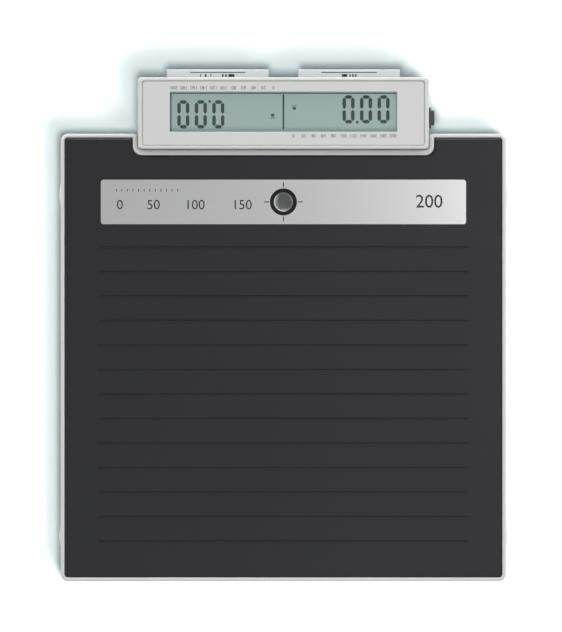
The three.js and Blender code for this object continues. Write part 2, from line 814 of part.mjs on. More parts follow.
function baseTray() {
  const outline = platformOutline(trayInset);
  const inside = platformOutline(trayInset + trayWall);
  const wallTop = frameBottom - frameSeam;
  const bay = {
    outer: box(
      -bayHalfX - bayWall, bayHalfX + bayWall, bayY - bayHalfY - bayWall, bayY + bayHalfY + bayWall,
      floorTop - sink, bayRoof + bayWall,
    ),
    hollow: box(-bayHalfX, bayHalfX, bayY - bayHalfY, bayY + bayHalfY, trayUnder - past, bayRoof),
  };
  const posts = postPlaces().map(([x, y]) => disc(x, y, postRadius, floorTop - sink, ledgeUnder, small));
  const pilots = postPlaces().map(([x, y]) => joined(
    disc(x, y, screwPilot, trayUnder - past, ledgeUnder + past, pilot),
    disc(x, y, screwSink, trayUnder - past, trayUnder + screwSinkDepth, small),
  ));
  const junctionPosts = [-1, 1].flatMap((i) => [-1, 1].map((j) => disc(
    i * (junctionWidth / 2 - junctionPostInset), junctionY + j * (junctionDepth / 2 - junctionPostInset),
    junctionPostRadius,
    floorTop - sink, floorTop + junctionLift, small,
  )));
  const ears = doorArms().flatMap((x) => [-1, 1].map((j) => {
    const inner = x + j * (doorArmWidth / 2 + fit);
    return box(
      inner, inner + j * doorEar, doorPivotY - doorEarHalf, doorPivotY + doorEarHalf,
      floorTop - sink, floorTop + doorEarHeight,
    );
  }));
  const earBores = doorArms().flatMap((x) => [
    rodX(
      doorPivotY, doorPivotZ, doorPin + fit,
      x - doorPinLength / 2 - fit, x + doorPinLength / 2 + fit, small,
    ),
    box(
      x - doorArmWidth / 2 - fit, x + doorArmWidth / 2 + fit,
      bayY + bayHalfY - sink, doorPivotY + doorPin + doorSwingGap,
      trayUnder - past, doorPivotZ + doorPin + fit,
    ),
  ]);
  const hubHoles = corners.map(({ side, y }) => (
    disc(side * footX, y, hubRadius + 1.5, trayUnder - past, floorTop + past)
  ));
  const tongueSlots = hands.map(({ side }) => {
    const x = side * tongueOffset;
    return box(
      x - tongueWidth / 2 - fit, x + tongueWidth / 2 + fit,
      notchFloor - trayInset - trayWall - past, notchFloor, headBottom - fit, wallTop + past,
    );
  });
  return cut(
    joined(
      cut(
        easedSlab(outline, skirtBottom, wallTop, trayEdge, { bottomToo: true }),
        slab(inside, skirtBottom - past, trayUnder),
        slab(inside, floorTop, wallTop + past),
      ),
      bay.outer, posts, junctionPosts, ears, hands.map(({ side }) => tongueBoss(side)), trayRibs(),
    ),
    bay.hollow,
    pilots,
    earBores,
    hubHoles,
    tongueSlots,
    harnessHole(notchFloor - trayInset - trayWall - past, notchFloor),
    corners.map(({ side, y }) => arch(side, y)),
    hands.map(({ side }) => tongueScrew(side, screwPilot, trayUnder - past, headBottom + past)),
    hands.map(({ side }) => tongueScrew(side, screwSink, trayUnder - past, trayUnder + screwSinkDepth)),
  );
}

// Battery door: hangs on two arms with stub pins at its rear edge, flush with the tray.
function doorArms() {
  return [-doorArmOffset, doorArmOffset];
}

function batteryDoor() {
  const x = bayHalfX - doorGap;
  const y0 = bayY - bayHalfY + doorGap;
  const y1 = bayY + bayHalfY - doorGap;
  const panel = slab(rectangle(-x, x, y0, y1), trayUnder, trayUnder + doorThickness);
  const arms = doorArms().flatMap((ax) => [
    box(
      ax - doorArmWidth / 2, ax + doorArmWidth / 2, y1 - sink, doorPivotY,
      doorPivotZ - doorPin, doorPivotZ + doorPin * 0.5,
    ),
    rodX(doorPivotY, doorPivotZ, doorPin, ax - doorPinLength / 2, ax + doorPinLength / 2, small),
  ]);
  const ridges = [-2, -1, 0, 1, 2].map((i) => {
    const y = y0 + gripInset + i * gripPitch;
    return box(
      -gripHalf, gripHalf, y - gripWidth / 2, y + gripWidth / 2,
      trayUnder - past, trayUnder + gripDepth,
    );
  });
  const inner = box(
    -x + doorRibInset, x - doorRibInset, bayY - doorRib / 2, bayY + doorRib / 2,
    trayUnder + doorThickness - sink, trayUnder + doorThickness + doorRibRise,
  );
  return cut(joined(panel, arms, inner), ridges);
}

function batteryCell() {
  const r = cellCaseRadius;
  return turned([
    [0, 0], [r - 1, 0], [r, 0.8], [r, cellCaseLength - 0.8], [r - 1, cellCaseLength],
    [cellNubRadius, cellCaseLength], [cellNubRadius, cellCaseLength + cellNubHeight],
    [0, cellCaseLength + cellNubHeight],
  ], 12);
}

// The contact strips at both ends of the bay: a board with a cone spring for each row.
function contactBoard(side) {
  const wall = bayHalfX - fit;
  const face = wall - contactBoardThickness;
  const length = face - cellRowLength / 2 - fit;
  const root = face + sink;
  const coils = [
    [0, 0], [contactBase, 0], [contactBase, 0.35], [(contactBase + contactTip) / 2, 0.4],
    [(contactBase + contactTip) / 2, 0.7], [contactTip, 0.75], [contactTip, 1], [0, 1],
  ];
  const spring = (y) => {
    const profile = coils.map(([r, share]) => new THREE.Vector2(r, share * (length + sink)));
    const cone = new THREE.LatheGeometry(profile, small);
    cone.rotateZ((side * Math.PI) / 2);
    cone.translate(side * root, y, cellZ);
    return solid(cone);
  };
  return joined(
    box(
      side * face, side * wall, bayY - bayHalfY + fit, bayY + bayHalfY - fit,
      cellZ - contactBoardHeight / 2, cellZ + contactBoardHeight / 2,
    ),
    batteryYs().map(spring),
  );
}

function batteryYs() {
  return Array.from({ length: batteryRows }, (_, i) => bayY + (i - (batteryRows - 1) / 2) * batteryPitch);
}

// Display head, upper shell: rim and deck for the bezel, windows for the keys, hole for the bung.
function headOutline(inset = 0) {
  return rectangle(
    -headHalf + inset, headHalf - inset, headFront + inset, headRear - inset,
    Math.max(headCorner - inset, 0.8),
  );
}

function displayShell() {
  const pocket = rectangle(
    -headHalf + rimSide, headHalf - rimSide, headFront + rimEnd, headRear - rimEnd, 1.7,
  );
  const opening = rectangle(
    -lcdWidth / 2 - lcdShoulder, lcdWidth / 2 + lcdShoulder,
    lcdY - lcdDepth / 2 - lcdShoulder, lcdY + lcdDepth / 2 + lcdShoulder,
  );
  const keyWindows = hands.map(({ side }) => {
    const x = side * keyOffset;
    const half = keyLength / 2 + keyGap;
    return box(
      x - half, x + half, headRear - headWall - past, headRear + past, keyBottom - keyGap, deckUnder,
    );
  });
  return cut(
    easedSlab(headOutline(), headParting, headTop, headEdge),
    slab(headOutline(headWall), headParting - past, deckUnder),
    slab(pocket, deckTop, headTop + past),
    slab(opening, deckUnder - past, deckTop + past),
    keyWindows,
    rodX(socketY, socketZ, bungShoulderRadius + fit, headHalf - headWall - past, headHalf + past),
  );
}

function displayBezel() {
  const low = deckTop;
  const high = deckTop + bezelThickness;
  const outline = rectangle(
    -headHalf + rimSide + fit, headHalf - rimSide - fit,
    headFront + rimEnd + fit, headRear - rimEnd - fit, 1.4,
  );
  const view = rectangle(-lcdWidth / 2, lcdWidth / 2, lcdY - lcdDepth / 2, lcdY + lcdDepth / 2, 0.6);
  return cut(easedSlab(outline, low, high, bezelEdge), slab(view, low - past, high + past));
}

function displayWindow() {
  const reach = lcdShoulder - fit;
  return box(
    -lcdWidth / 2 - reach, lcdWidth / 2 + reach,
    lcdY - lcdDepth / 2 - reach, lcdY + lcdDepth / 2 + reach, lcdTop, lcdTop + windowThickness,
  );
}

function lcdPanel() {
  const x = lcdWidth / 2 + lcdBorder;
  const y = lcdDepth / 2 + lcdBorder;
  return box(-x, x, lcdY - y, lcdY + y, lcdUnder, lcdTop);
}

// The holder keeps the glass in line over the board; the glass rests on its end ledges.
function lcdHolder() {
  const x = lcdWidth / 2 + lcdBorder + fit;
  const y = lcdDepth / 2 + lcdBorder + fit;
  const frame = cut(
    box(-x - holderWall, x + holderWall, lcdY - y - holderWall, lcdY + y + holderWall, boardTop, deckUnder),
    box(-x, x, lcdY - y, lcdY + y, boardTop - past, deckUnder + past),
  );
  const ledges = hands.map(({ side }) => box(
    side * (x + sink), side * (x - holderLedge), lcdY - y - sink, lcdY + y + sink,
    lcdUnder - holderLedgeHeight, lcdUnder,
  ));
  return joined(frame, ledges);
}

function contactStrip(sign) {
  const x = lcdWidth / 2 + lcdBorder - stripEndGap;
  const out = lcdY + sign * (lcdDepth / 2 + lcdBorder - stripInset);
  return box(-x, x, out, out - sign * stripWidth, boardTop, lcdUnder);
}

function mainBoard() {
  const x = headHalf - headWall - boardEndGap;
  return slab(
    rectangle(-x, x, headFront + headWall + boardFrontGap, headRear - headWall - boardRearGap, 1),
    boardUnder, boardTop,
  );
}

function controllerChip() {
  const y = lcdY - chipSetForward;
  const half = chipSize / 2;
  return easedSlab(
    rectangle(chipX - half, chipX + half, y - half, y + half, 2 * chipEdge),
    boardUnder - chipThickness, boardUnder, chipEdge, { bottomToo: true, arcSteps: 1 },
  );
}

// Display head, lower half: floor, walls with a lip into the shell, posts for the board,
// saddles for the key pins, and two tongues that are screwed to the tray.
function displayBase() {
  const bottomEdge = easedSlab(
    headOutline(), headBottom, headParting + headEdge, headEdge, { bottomToo: true },
  );
  const shellSeat = slab(headOutline(-past), headParting, headParting + past + headEdge);
  const lip = cut(
    joined(
      slab(headOutline(headWall - sink), headParting - headLipHeight, headParting),
      slab(headOutline(headWall + fit), headParting - sink, headParting + headLipHeight),
    ),
    slab(
      headOutline(headWall + fit + headLip),
      headParting - headLipHeight - past, headParting + headLipHeight + past,
    ),
    hands.map(({ side }) => box(
      side * (keyOffset - keyLength / 2 - 3), side * (keyOffset + keyLength / 2 + 3),
      headRear - headWall - 4, headRear, headParting, headParting + headLipHeight + past,
    )),
  );
  const floorAndWalls = cut(
    bottomEdge, shellSeat, slab(headOutline(headWall), headBottom + headFloor, headParting + past),
  );
  const floor = headBottom + headFloor;
  const postX = headHalf - boardPostEndInset;
  const posts = [boardPostFront, boardPostRear].flatMap((dy) => hands.map(({ side }) => (
    disc(side * postX, headFront + dy, boardPostRadius, floor - sink, boardUnder, small)
  )));
  const tongues = hands.map(({ side }) => {
    const x = side * tongueOffset;
    return cut(
      box(
        x - tongueWidth / 2, x + tongueWidth / 2, headFront - tongueReach, headFront + sink,
        headBottom, headBottom + tongueHeight,
      ),
      tongueScrew(side, screwPilot, headBottom - past, headBottom + tongueHeight + past),
    );
  });
  const saddles = keyPinXs().flatMap((x) => [-1, 1].map((j) => {
    const inner = x + j * (keyArmWidth / 2 + fit);
    return box(
      inner, inner + j * saddleWidth, keyPivotY - saddleHalf, keyPivotY + saddleHalf,
      floor - sink, keyPivotZ + keyPinRadius,
    );
  }));
  const saddleSeats = keyPinXs().flatMap((x) => {
    const half = keyPinLength / 2 + past;
    return [
      rodX(keyPivotY, keyPivotZ, keyPinRadius + fit, x - half, x + half, small),
      box(
        x - half, x + half, keyPivotY - keyPinRadius - fit, keyPivotY + keyPinRadius + fit,
        keyPivotZ, keyPivotZ + keyPinRadius + past,
      ),
    ];
  });
  const clips = hands.flatMap(({ side }) => [-1, 1].map((j) => {
    const y = keyBoardY + (j > 0 ? boardThickness + fit : -fit);
    return box(
      side * (keyBoardHalf - 6), side * (keyBoardHalf + 1), y, y + j * 1.6, floor - sink, floor + 6,
    );
  }));
  return cut(
    joined(floorAndWalls, lip, posts, tongues, cut(joined(saddles), saddleSeats), clips),
    harnessHole(headFront - past, headFront + headWall + fit + headLip + past),
  );
}

// Keys: a hollow cap with a nearly flat face, two arms down to the pivot, and a plunger.
const keyBottom = headParting + keyFootLift;
const keyTop = deckUnder - keyHeadroom;
const keyPivotY = headRear - keyPivotInset;
const keyPivotZ = headBottom + keyPivotLift;
const keyBoardHalf = headHalf - headWall - keyBoardEndGap;
const keyBoardY = headRear - keyBoardInset;
const switchTip = keyBoardY + boardThickness + switchDepth + switchStem;
const switchZ = headBottom + keySwitchLift;

function keyPinXs() {
  return hands.flatMap(({ side }) => [-1, 1].map((j) => side * keyOffset + j * keyArmOffset));
}

function key(side) {
  const x = side * keyOffset;
  const half = keyLength / 2;
  const inner = headRear - headWall + fit + 0.2;
  const outer = headRear + keyReach;
  const wall = keyWall;
  const faceAt = (y) => keyTop - (keyDrop * (y - headRear)) / keyReach;
  const cap = alongX([
    [inner, keyBottom], [outer - keyEdge, keyBottom], [outer, keyBottom + keyEdge],
    [outer, faceAt(outer) - keyEdge], [outer - keyEdge * 0.3, faceAt(outer) - keyEdge * 0.3],
    [outer - keyEdge, faceAt(outer - keyEdge)], [headRear, keyTop], [inner, keyTop],
  ], x - half, x + half);
  const hollow = alongX([
    [inner - past, keyBottom + wall], [outer - wall, keyBottom + wall],
    [outer - wall, faceAt(outer) - wall], [headRear, keyTop - wall], [inner - past, keyTop - wall],
  ], x - half + wall, x + half - wall);
  const lips = [-1, 1].map((j) => {
    const end = x + j * half;
    const lipY = headRear - headWall - fit;
    const lipZ = (keyBottom + keyTop) / 2;
    return [
      box(
        end - j * wall, end + j * keyLipOverlap, lipY - keyLipThickness, lipY,
        lipZ - keyLipHeight / 2, lipZ + keyLipHeight / 2,
      ),
      box(
        end - j * wall, end, lipY - keyLipThickness, inner + sink,
        lipZ - keyLipHeight / 2, lipZ + keyLipHeight / 2,
      ),
    ];
  }).flat();
  const arms = [-1, 1].map((j) => {
    const armX = x + j * keyArmOffset;
    const armY = keyPivotY;
    return [
      box(
        armX - keyArmWidth / 2, armX + keyArmWidth / 2,
        armY - keyArmThickness / 2, armY + keyArmThickness / 2, keyPivotZ, keyBottom + wall,
      ),
      box(
        armX - keyArmWidth / 2, armX + keyArmWidth / 2, armY - keyArmThickness / 2, inner + sink,
        keyBottom, keyBottom + wall,
      ),
      rodX(keyPivotY, keyPivotZ, keyPinRadius, armX - keyPinLength / 2, armX + keyPinLength / 2, small),
    ];
  }).flat();
  const plunger = rodY(x, switchZ, keyPlungerRadius, switchTip + keyTravelGap, outer - wall + sink, small);
  return joined(cut(cap, hollow), lips, arms, plunger);
}

function keyBoard() {
  const floor = headBottom + headFloor;
  return box(
    -keyBoardHalf, keyBoardHalf, keyBoardY, keyBoardY + boardThickness, floor, floor + keyBoardHeight,
  );
}

function keySwitch(side) {
  const x = side * keyOffset;
  const half = switchBody / 2;
  const face = keyBoardY + boardThickness;
  return joined(
    box(x - half, x + half, face, face + switchDepth, switchZ - half, switchZ + half),
    rodY(x, switchZ, switchStemRadius, face + switchDepth - sink, switchTip, small),
  );
}

// Supply socket under the board, and the rubber bung that keeps it closed.
function supplySocket() {
  const face = headHalf - headWall - boardEndGap;
  const back = face - socketLength;
  const half = socketWidth / 2;
  const bore = rodX(socketY, socketZ, socketBore, face - socketBoreDepth, face + past);
  return joined(
    cut(
      box(back, face, socketY - half, socketY + half, boardUnder - socketHeight, boardUnder),
      bore,
    ),
    rodX(socketY, socketZ, socketPin, face - socketBoreDepth - sink, face - 1.2, small),
  );
}

function socketBung() {
  const skin = headHalf + fit;
  const flangeFace = skin + bungFlangeThickness;
  const socketFace = headHalf - headWall - boardEndGap;
  const tip = socketFace - bungPlugLength;
  const block = (width, height, x0, x1) => {
    const shape = rectangle(
      socketY - width / 2, socketY + width / 2, socketZ - height / 2, socketZ + height / 2,
      Math.min(width, height) * 0.28,
    );
    return alongX(shape.getPoints(2).map((p) => [p.x, p.y]), x0, x1);
  };
  return cut(
    joined(
      block(bungFlangeWidth, bungFlangeHeight, skin, flangeFace),
      block(bungGripWidth, bungGripHeight, flangeFace - sink, flangeFace + bungGripThickness),
      rodX(socketY, socketZ, bungShoulderRadius, socketFace + fit, skin + sink),
      rodX(socketY, socketZ, bungPlugRadius, tip, socketFace + sink),
    ),
    rodX(socketY, socketZ, bungPlugHollow, tip - past, socketFace + fit, small),
  );
}

// Wiring: each load cell's lead runs over the tray's ribs to the junction board, and one
// harness goes on through the two walls into the display head.
const leadZ = floorTop + ribHeight + leadRadius + fit;
const harnessZ = headBottom + headFloor + harnessRadius + 0.9;
const junctionTop = floorTop + junctionLift + boardThickness;

function junctionBoard() {
  return slab(
    rectangle(
      -junctionWidth / 2, junctionWidth / 2,
      junctionY - junctionDepth / 2, junctionY + junctionDepth / 2, 1,
    ),
    floorTop + junctionLift, junctionTop,
  );
}

// The leads leave the beams' sides near their inner ends.
function frontLead(side) {
  const start = side * (footX - cellReach + leadExit);
  const lane = side * (bayHalfX + bayWall + leadLane);
  const end = side * (junctionWidth / 2 + fit);
  const y = frontFootY + cellDepth / 2 + fit;
  const exitZ = (cellBottom + cellTop) / 2;
  const room = bayY - bayHalfY - y;
  return tube([
    [start, y, exitZ], [start, y + room * 0.08, exitZ],
    [start * 0.6 + lane * 0.4, y + room * 0.35, exitZ * 0.6 + leadZ * 0.4],
    [lane, y + room * 0.7, leadZ], [lane, bayY - bayHalfY, leadZ], [lane, bayY + bayHalfY, leadZ],
    [(lane + end) / 2, junctionY - junctionDepth / 2, leadZ],
    [end + side * leadLane, junctionY - junctionPostInset, leadZ],
    [end, junctionY - junctionPostInset, leadZ],
  ], leadRadius, 22);
}

function rearLead(side) {
  const start = side * (footX - cellReach + leadExit);
  const end = side * (junctionWidth / 2 + fit);
  const y = rearFootY - cellDepth / 2 - fit;
  const exitZ = (cellBottom + cellTop) / 2;
  const room = y - junctionY;
  return tube([
    [start, y, exitZ], [start, y - room * 0.12, exitZ], [start * 0.7 + end * 0.3, y - room * 0.6, leadZ + 1],
    [end + side * leadLane * 1.5, junctionY + junctionPostInset, leadZ],
    [end, junctionY + junctionPostInset, leadZ],
  ], leadRadius, 11);
}

function displayHarness() {
  const startZ = junctionTop + harnessRadius + fit;
  const y = junctionY + junctionDepth / 2 - 6;
  return tube([
    [0, y, startZ], [0, y + 10, startZ], [0, headFront - 22, harnessZ + 0.4], [0, headFront - 8, harnessZ],
    [0, headFront + headWall, harnessZ],
    [0, headFront + 9, harnessZ + 1.8], [0, headFront + 14, harnessZ + 8],
    [0, headFront + 15.5, boardUnder - 5], [0, headFront + 15.5, boardUnder - fit],
  ], harnessRadius, 20);
}

// The whole scale
const scale = new THREE.Group();

scale.add(
  piece('top_frame', topFrame(), finishes.shell),
  piece('platform_plate', platformPlate(), finishes.steel),
  piece('rubber_mat', rubberMat(), finishes.mat),
  piece('label_plate', labelPlate(), finishes.aluminium),
  bubbleLevel(),
  piece('base_tray', baseTray(), finishes.tray),
  piece('battery_door', batteryDoor(), finishes.tray),
);

for (const { name, side, y } of corners) {
  const place = new THREE.Group();
  place.position.set(side * footX, y, 0);
  place.add(
    piece(`load_cell_${name}`, loadCell(side), finishes.aluminium),
    piece(`foot_pad_${name}`, footPad(), finishes.foot),
    piece(`foot_wheel_${name}`, footWheel(), finishes.wheel),
    piece(`foot_stud_${name}`, footStud(), finishes.plated),
  );
  scale.add(place);
}

batteryYs().forEach((y, row) => {
  const forward = row % 2 === 0 ? 1 : -1;
  [-1, 1].forEach((column) => {
    const cell = piece(`battery_${2 * row + (column > 0 ? 2 : 1)}`, batteryCell(), finishes.battery);
    const low = column < 0 ? -cellRowLength / 2 : fit / 2;
    const length = cellCaseLength + cellNubHeight;
    cell.rotation.set(0, (forward * Math.PI) / 2, 0);
    cell.position.set(forward > 0 ? low : low + length, y, cellZ);
    scale.add(cell);
  });
});

scale.add(
  piece('contact_board_left', contactBoard(-1), finishes.plated),
  piece('contact_board_right', contactBoard(1), finishes.plated),
  piece('junction_board', junctionBoard(), finishes.board),
  piece('load_lead_front_left', frontLead(-1), finishes.lead),
  piece('load_lead_front_right', frontLead(1), finishes.lead),
  piece('load_lead_rear_left', rearLead(-1), finishes.lead),
  piece('load_lead_rear_right', rearLead(1), finishes.lead),
  piece('display_harness', displayHarness(), finishes.lead),
);

scale.add(
  piece('display_shell', displayShell(), finishes.shell),
  piece('display_base', displayBase(), finishes.shell),
  piece('display_bezel', displayBezel(), finishes.bezel),
  piece('display_window', displayWindow(), finishes.clear),
  piece('lcd_panel', lcdPanel(), finishes.lcd),
  piece('lcd_holder', lcdHolder(), finishes.black),
  piece('lcd_strip_front', contactStrip(-1), finishes.strip),
  piece('lcd_strip_rear', contactStrip(1), finishes.strip),
  piece('main_board', mainBoard(), finishes.board),
  piece('controller_chip', controllerChip(), finishes.black),
  piece('key_board', keyBoard(), finishes.board),
  piece('supply_socket', supplySocket(), finishes.black),
  piece('socket_bung', socketBung(), finishes.foot),
);

for (const { name, side } of hands) {
  scale.add(
    piece(`key_${name}`, key(side), finishes.shell),
    piece(`key_switch_${name}`, keySwitch(side), finishes.black),
  );
}

export default scale;
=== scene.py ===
import math

import bmesh
import bpy
from mathutils import Matrix, Vector


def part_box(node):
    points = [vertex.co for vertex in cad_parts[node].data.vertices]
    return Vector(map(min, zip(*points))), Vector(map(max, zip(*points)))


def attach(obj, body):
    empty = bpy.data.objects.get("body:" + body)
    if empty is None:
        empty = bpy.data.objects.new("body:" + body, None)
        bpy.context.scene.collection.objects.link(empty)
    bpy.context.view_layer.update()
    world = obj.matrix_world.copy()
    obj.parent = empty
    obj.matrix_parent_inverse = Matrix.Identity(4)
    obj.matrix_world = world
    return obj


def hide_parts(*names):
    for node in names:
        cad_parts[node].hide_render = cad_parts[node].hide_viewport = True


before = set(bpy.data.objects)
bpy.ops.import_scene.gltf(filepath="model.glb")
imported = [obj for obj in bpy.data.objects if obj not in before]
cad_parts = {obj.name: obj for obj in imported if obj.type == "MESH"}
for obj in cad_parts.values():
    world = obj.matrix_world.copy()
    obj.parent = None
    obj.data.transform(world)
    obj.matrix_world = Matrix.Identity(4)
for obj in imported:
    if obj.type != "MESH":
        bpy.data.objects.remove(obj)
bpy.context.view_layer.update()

# Every length below is in millimetres, and becomes metres as a mesh is made.
MM = 0.001

# Camera: straight above, far off, framed as the photograph
PHOTO_HEIGHT = 632  # in pixels
PHOTO_SCALE = 0.7  # millimetres to a pixel at the platform's top
CAMERA_LENS = 900
CAMERA_AIM = (-1.7, 6.6)

# Platform
OUTER_CORNER = 5
NOTCH_GAP = 0.4
NOTCH_ROOT = 3
NOTCH_TIP = 2.2
BAND = 2.6  # the frame's width round the mat
NOTCH_SIDE_BAND = 3.3
NOTCH_FLOOR_BAND = 3.8
LEDGE = 11  # the shelf under the plate's edge
LEDGE_THICKNESS = 2.6
PLATE = 3
FRAME_CREST = 1.6  # the frame's rounded top is highest this far in
FRAME_ROUND = 1.6
FRAME_FALL = 0.45  # from the crest down to the frame's edge at the mat
SEAT = 0.3  # clearance round a piece that lies in another
MAT_LIP = 0.45  # width of the mat's flat lip along the frame
MAT_EDGE = 0.65  # width of the bevel that follows it
MAT_FACE = BAND + SEAT + MAT_LIP + MAT_EDGE  # the mat's flat face starts this far in
TREAD_COUNT = 13
TREAD_WIDTH = 1.5
TREAD_ROOT = 0.3  # how far a tread reaches into the mat
TREAD_END_INSET = 26.7
TREAD_FRONT_INSET = 27.9
TREAD_REAR_INSET = 79.6
LABEL_CORNER = 2
LABEL_EDGE = 0.15
PRINT = 0.03  # thickness of a printed mark

# Display head
HEAD_CORNER = 2.5
HEAD_EDGE = 1.2
HEAD_WALL = 2
RIM_SIDE = 2.8  # width of the head's rim at its sides
RIM_END = 2.3  # and at its front and rear
POCKET_CORNER = 1.7  # of the pocket that the bezel lies in
DECK = 2  # thickness of that pocket's floor
KEY_GAP = 0.5
KEY_LIP = 1.4  # how far a key's lips reach behind the shell
KEY_DROP = 1.4  # fall of a key's face from the head to its rear
KEY_SILL = 4  # height of the shell's wall below the keys
BUNG_HOLE = 4.5  # radius of the hole that the bung fills
LCD_HALF = 79.5
LCD_DEPTH = 28
LCD_MARGIN = 1.5  # how far the deck's opening clears the view
DIGIT_FIRST = 41.3  # left side of the first digit, from the middle
DIGIT_FOOT = -8.1  # foot of the digits, from the middle of the LCD
DIGIT_WIDTH = 8.45
DIGIT_HEIGHT = 19.7
DIGIT_STROKE = 2.45
DIGIT_PITCH = 12.25
POINT = 1.7
LCD_STEP = 1.1  # height and depth of the step round the LCD's lower glass
LCD_SUNK = 0.1  # the LCD's face lies this far below its CAD node's top
LCD_SYMBOL = ((7.6, 4.2, 3.4, 0.5, 0.1), (7.6, 2.4, 2.2, 1.9, 0.4))  # x, y, width, depth, radius
LCD_MIDDLE_LINE = (0, 0, 1.2, 24.5)  # x, y, width, depth, as are the next two
# The next two are dark lines along the LCD's rear and left edges: painted shadow of the bezel's rim.
LCD_REAR_SHADOW_LINE = (0, LCD_DEPTH / 2 - 0.95, 2 * LCD_HALF - 1, 0.75)
LCD_LEFT_SHADOW_LINE = (-LCD_HALF + 0.8, 0, 0.8, LCD_DEPTH - 1.2)

# Bubble level
LEVEL_EYE = 8.5  # hole in the label and the mat
COLLAR_RADIUS = 9.45
VIAL_RADIUS = 6.7
VIAL_MOUTH = 6.35
VIAL_FLOOR = 3.3
BUBBLE_RADIUS = 3.1
GLASS_RIM = 0.7  # height of the lens's upright edge
CIRCLES = (1.1, 2.1, 3.4)  # radii of the printed circles
CIRCLE_WIDTH = 0.4
AXIS = 0.001  # turned pieces close this near to their axis

# Marks: plain numbers and ticks in place of the lettering
LABEL_NUMBERS = (("0", -114.5), ("50", -91), ("100", -62), ("150", -29))
LABEL_NUMBER_Y = 84.2
LABEL_NUMBER_HEIGHT = 6.6
LAST_NUMBER_PLACE = (102, 86.4)
LAST_NUMBER_HEIGHT = 9
CROSS_LENGTH = 3.5  # the four ticks round the bubble level
CROSS_WIDTH = 0.7
CROSS_SIDEWAYS = 11.8
CROSS_LENGTHWAYS = 12
SCALE_TICKS = 12
SCALE_START = (-117, 94.6)
SCALE_PITCH = 3.9
BEZEL_NUMBERS = 11  # in each of the two rows beside the LCD
BEZEL_NUMBER_HEIGHT = 2.4
BEZEL_NUMBER_FIRST = 7
BEZEL_NUMBER_PITCH = 6.95
BEZEL_NUMBER_ROW = 16.9  # from the middle of the LCD
KEY_LINE_WIDTH = 38.9
KEY_LINE_INSET = 2.05
KEY_SYMBOL_ROW = 1.35  # from the head's rear edge
KEY_SYMBOL_DEPTH = 2

# Feet
FLUTES = 24
FLUTE_DEPTH = 0.9
WHEEL_RIM = 7  # from the wheel's foot up to its rim
WHEEL_FLANGE = 1.4  # the smooth lip above the flutes
WHEEL_HUB = 8
WHEEL_WEB = 2.45  # from the wheel's foot up to its web
PAD_SOLE = 0.45  # depth of the grooves in a pad's sole
PAD_SOCKET = 2.8  # depth of the socket for the stud
PAD_BORE = 4.3  # its radius, and that of the hole in a wheel
THREAD_PITCH = 1.5
THREAD_DEPTH = 0.5
THREAD_START = 3  # plain part of the stud below its thread
STUD_SIDES = 24
STUD_ROW = 0.25  # height of one row of faces on the thread

# Underside
TRAY_UNDER = 14.5  # height of the tray's underside
SCREW_SINK = 1.4  # the screws' seats lie this far above it
SCREW_RADIUS = 2.8
TONGUE_SCREW = 72  # sideways place of the screws in the head's tongues
TONGUE_INSET = 14  # and their distance from the head

# Stage
FLOOR_REACH = 20000
FLOOR_NEAR = 300  # the floor's own light starts this far out
FLOOR_FAR = 700
FLOOR_SHADOW_GLOW = 0.065  # strength of the faint teal glow painted into the shadow round the object
SHADOW_GLOW_EDGE = 15  # the painted glow fades out this far inside the platform's outline
WORLD_LIGHT = 0.4
LAMP_AIM = (0, 0, 0.03)  # in metres, as are the lamps' places and sizes

SHARP = 32  # edges stay sharp from this many degrees on
CORNERS = ("front_left", "front_right", "rear_left", "rear_right")
HANDS = ("left", "right")


def span(node):
    """The lowest and highest corner of a CAD node, in millimetres."""
    low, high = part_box(node)
    return low / MM, high / MM


def middle(node):
    low, high = span(node)
    return (low + high) / 2


frame_low, frame_high = span("top_frame")
mat_top = span("rubber_mat")[1].z
plate_top = span("platform_plate")[1].z
label_low, label_high = span("label_plate")
shell_low, shell_high = span("display_shell")
bezel_low, bezel_high = span("display_bezel")
lcd_low, lcd_high = span("lcd_panel")
lcd_middle = middle("lcd_panel").y
lcd_face = lcd_high.z - LCD_SUNK
level = middle("level_glass")
platform_top = frame_high.z
head_half = shell_high.x
head_front = shell_low.y
head_rear = shell_high.y
notch_half = head_half + NOTCH_GAP
notch_floor = head_front - NOTCH_GAP


# Outlines and meshes

def outline(corners, steps=6):
    """A closed path with round corners, anticlockwise; each corner is (x, y, radius)."""
    path = []
    for i, (x, y, radius) in enumerate(corners):
        here = Vector((x, y))
        back = (Vector(corners[i - 1][:2]) - here).normalized()
        on = (Vector(corners[(i + 1) % len(corners)][:2]) - here).normalized()
        half = back.angle(on) / 2
        centre = here + (back + on).normalized() * (radius / math.sin(half))
        start = here + back * (radius / math.tan(half)) - centre
        end = here + on * (radius / math.tan(half)) - centre
        first = math.atan2(start.y, start.x)
        sweep = (math.atan2(end.y, end.x) - first + math.pi) % (2 * math.pi) - math.pi
        for k in range(steps + 1):
            angle = first + sweep * k / steps
            path.append((centre.x + radius * math.cos(angle), centre.y + radius * math.sin(angle)))
    return path


def rectangle(x0, x1, y0, y1, radius, steps=6):
    return outline([(x0, y0, radius), (x1, y0, radius), (x1, y1, radius), (x0, y1, radius)], steps)


def oblong(x, y, wide, deep, radius, steps=6):
    """A rectangle about a middle."""
    return rectangle(x - wide / 2, x + wide / 2, y - deep / 2, y + deep / 2, radius, steps)


def lift(path, z):
    return [(x, y, z) for x, y in path]


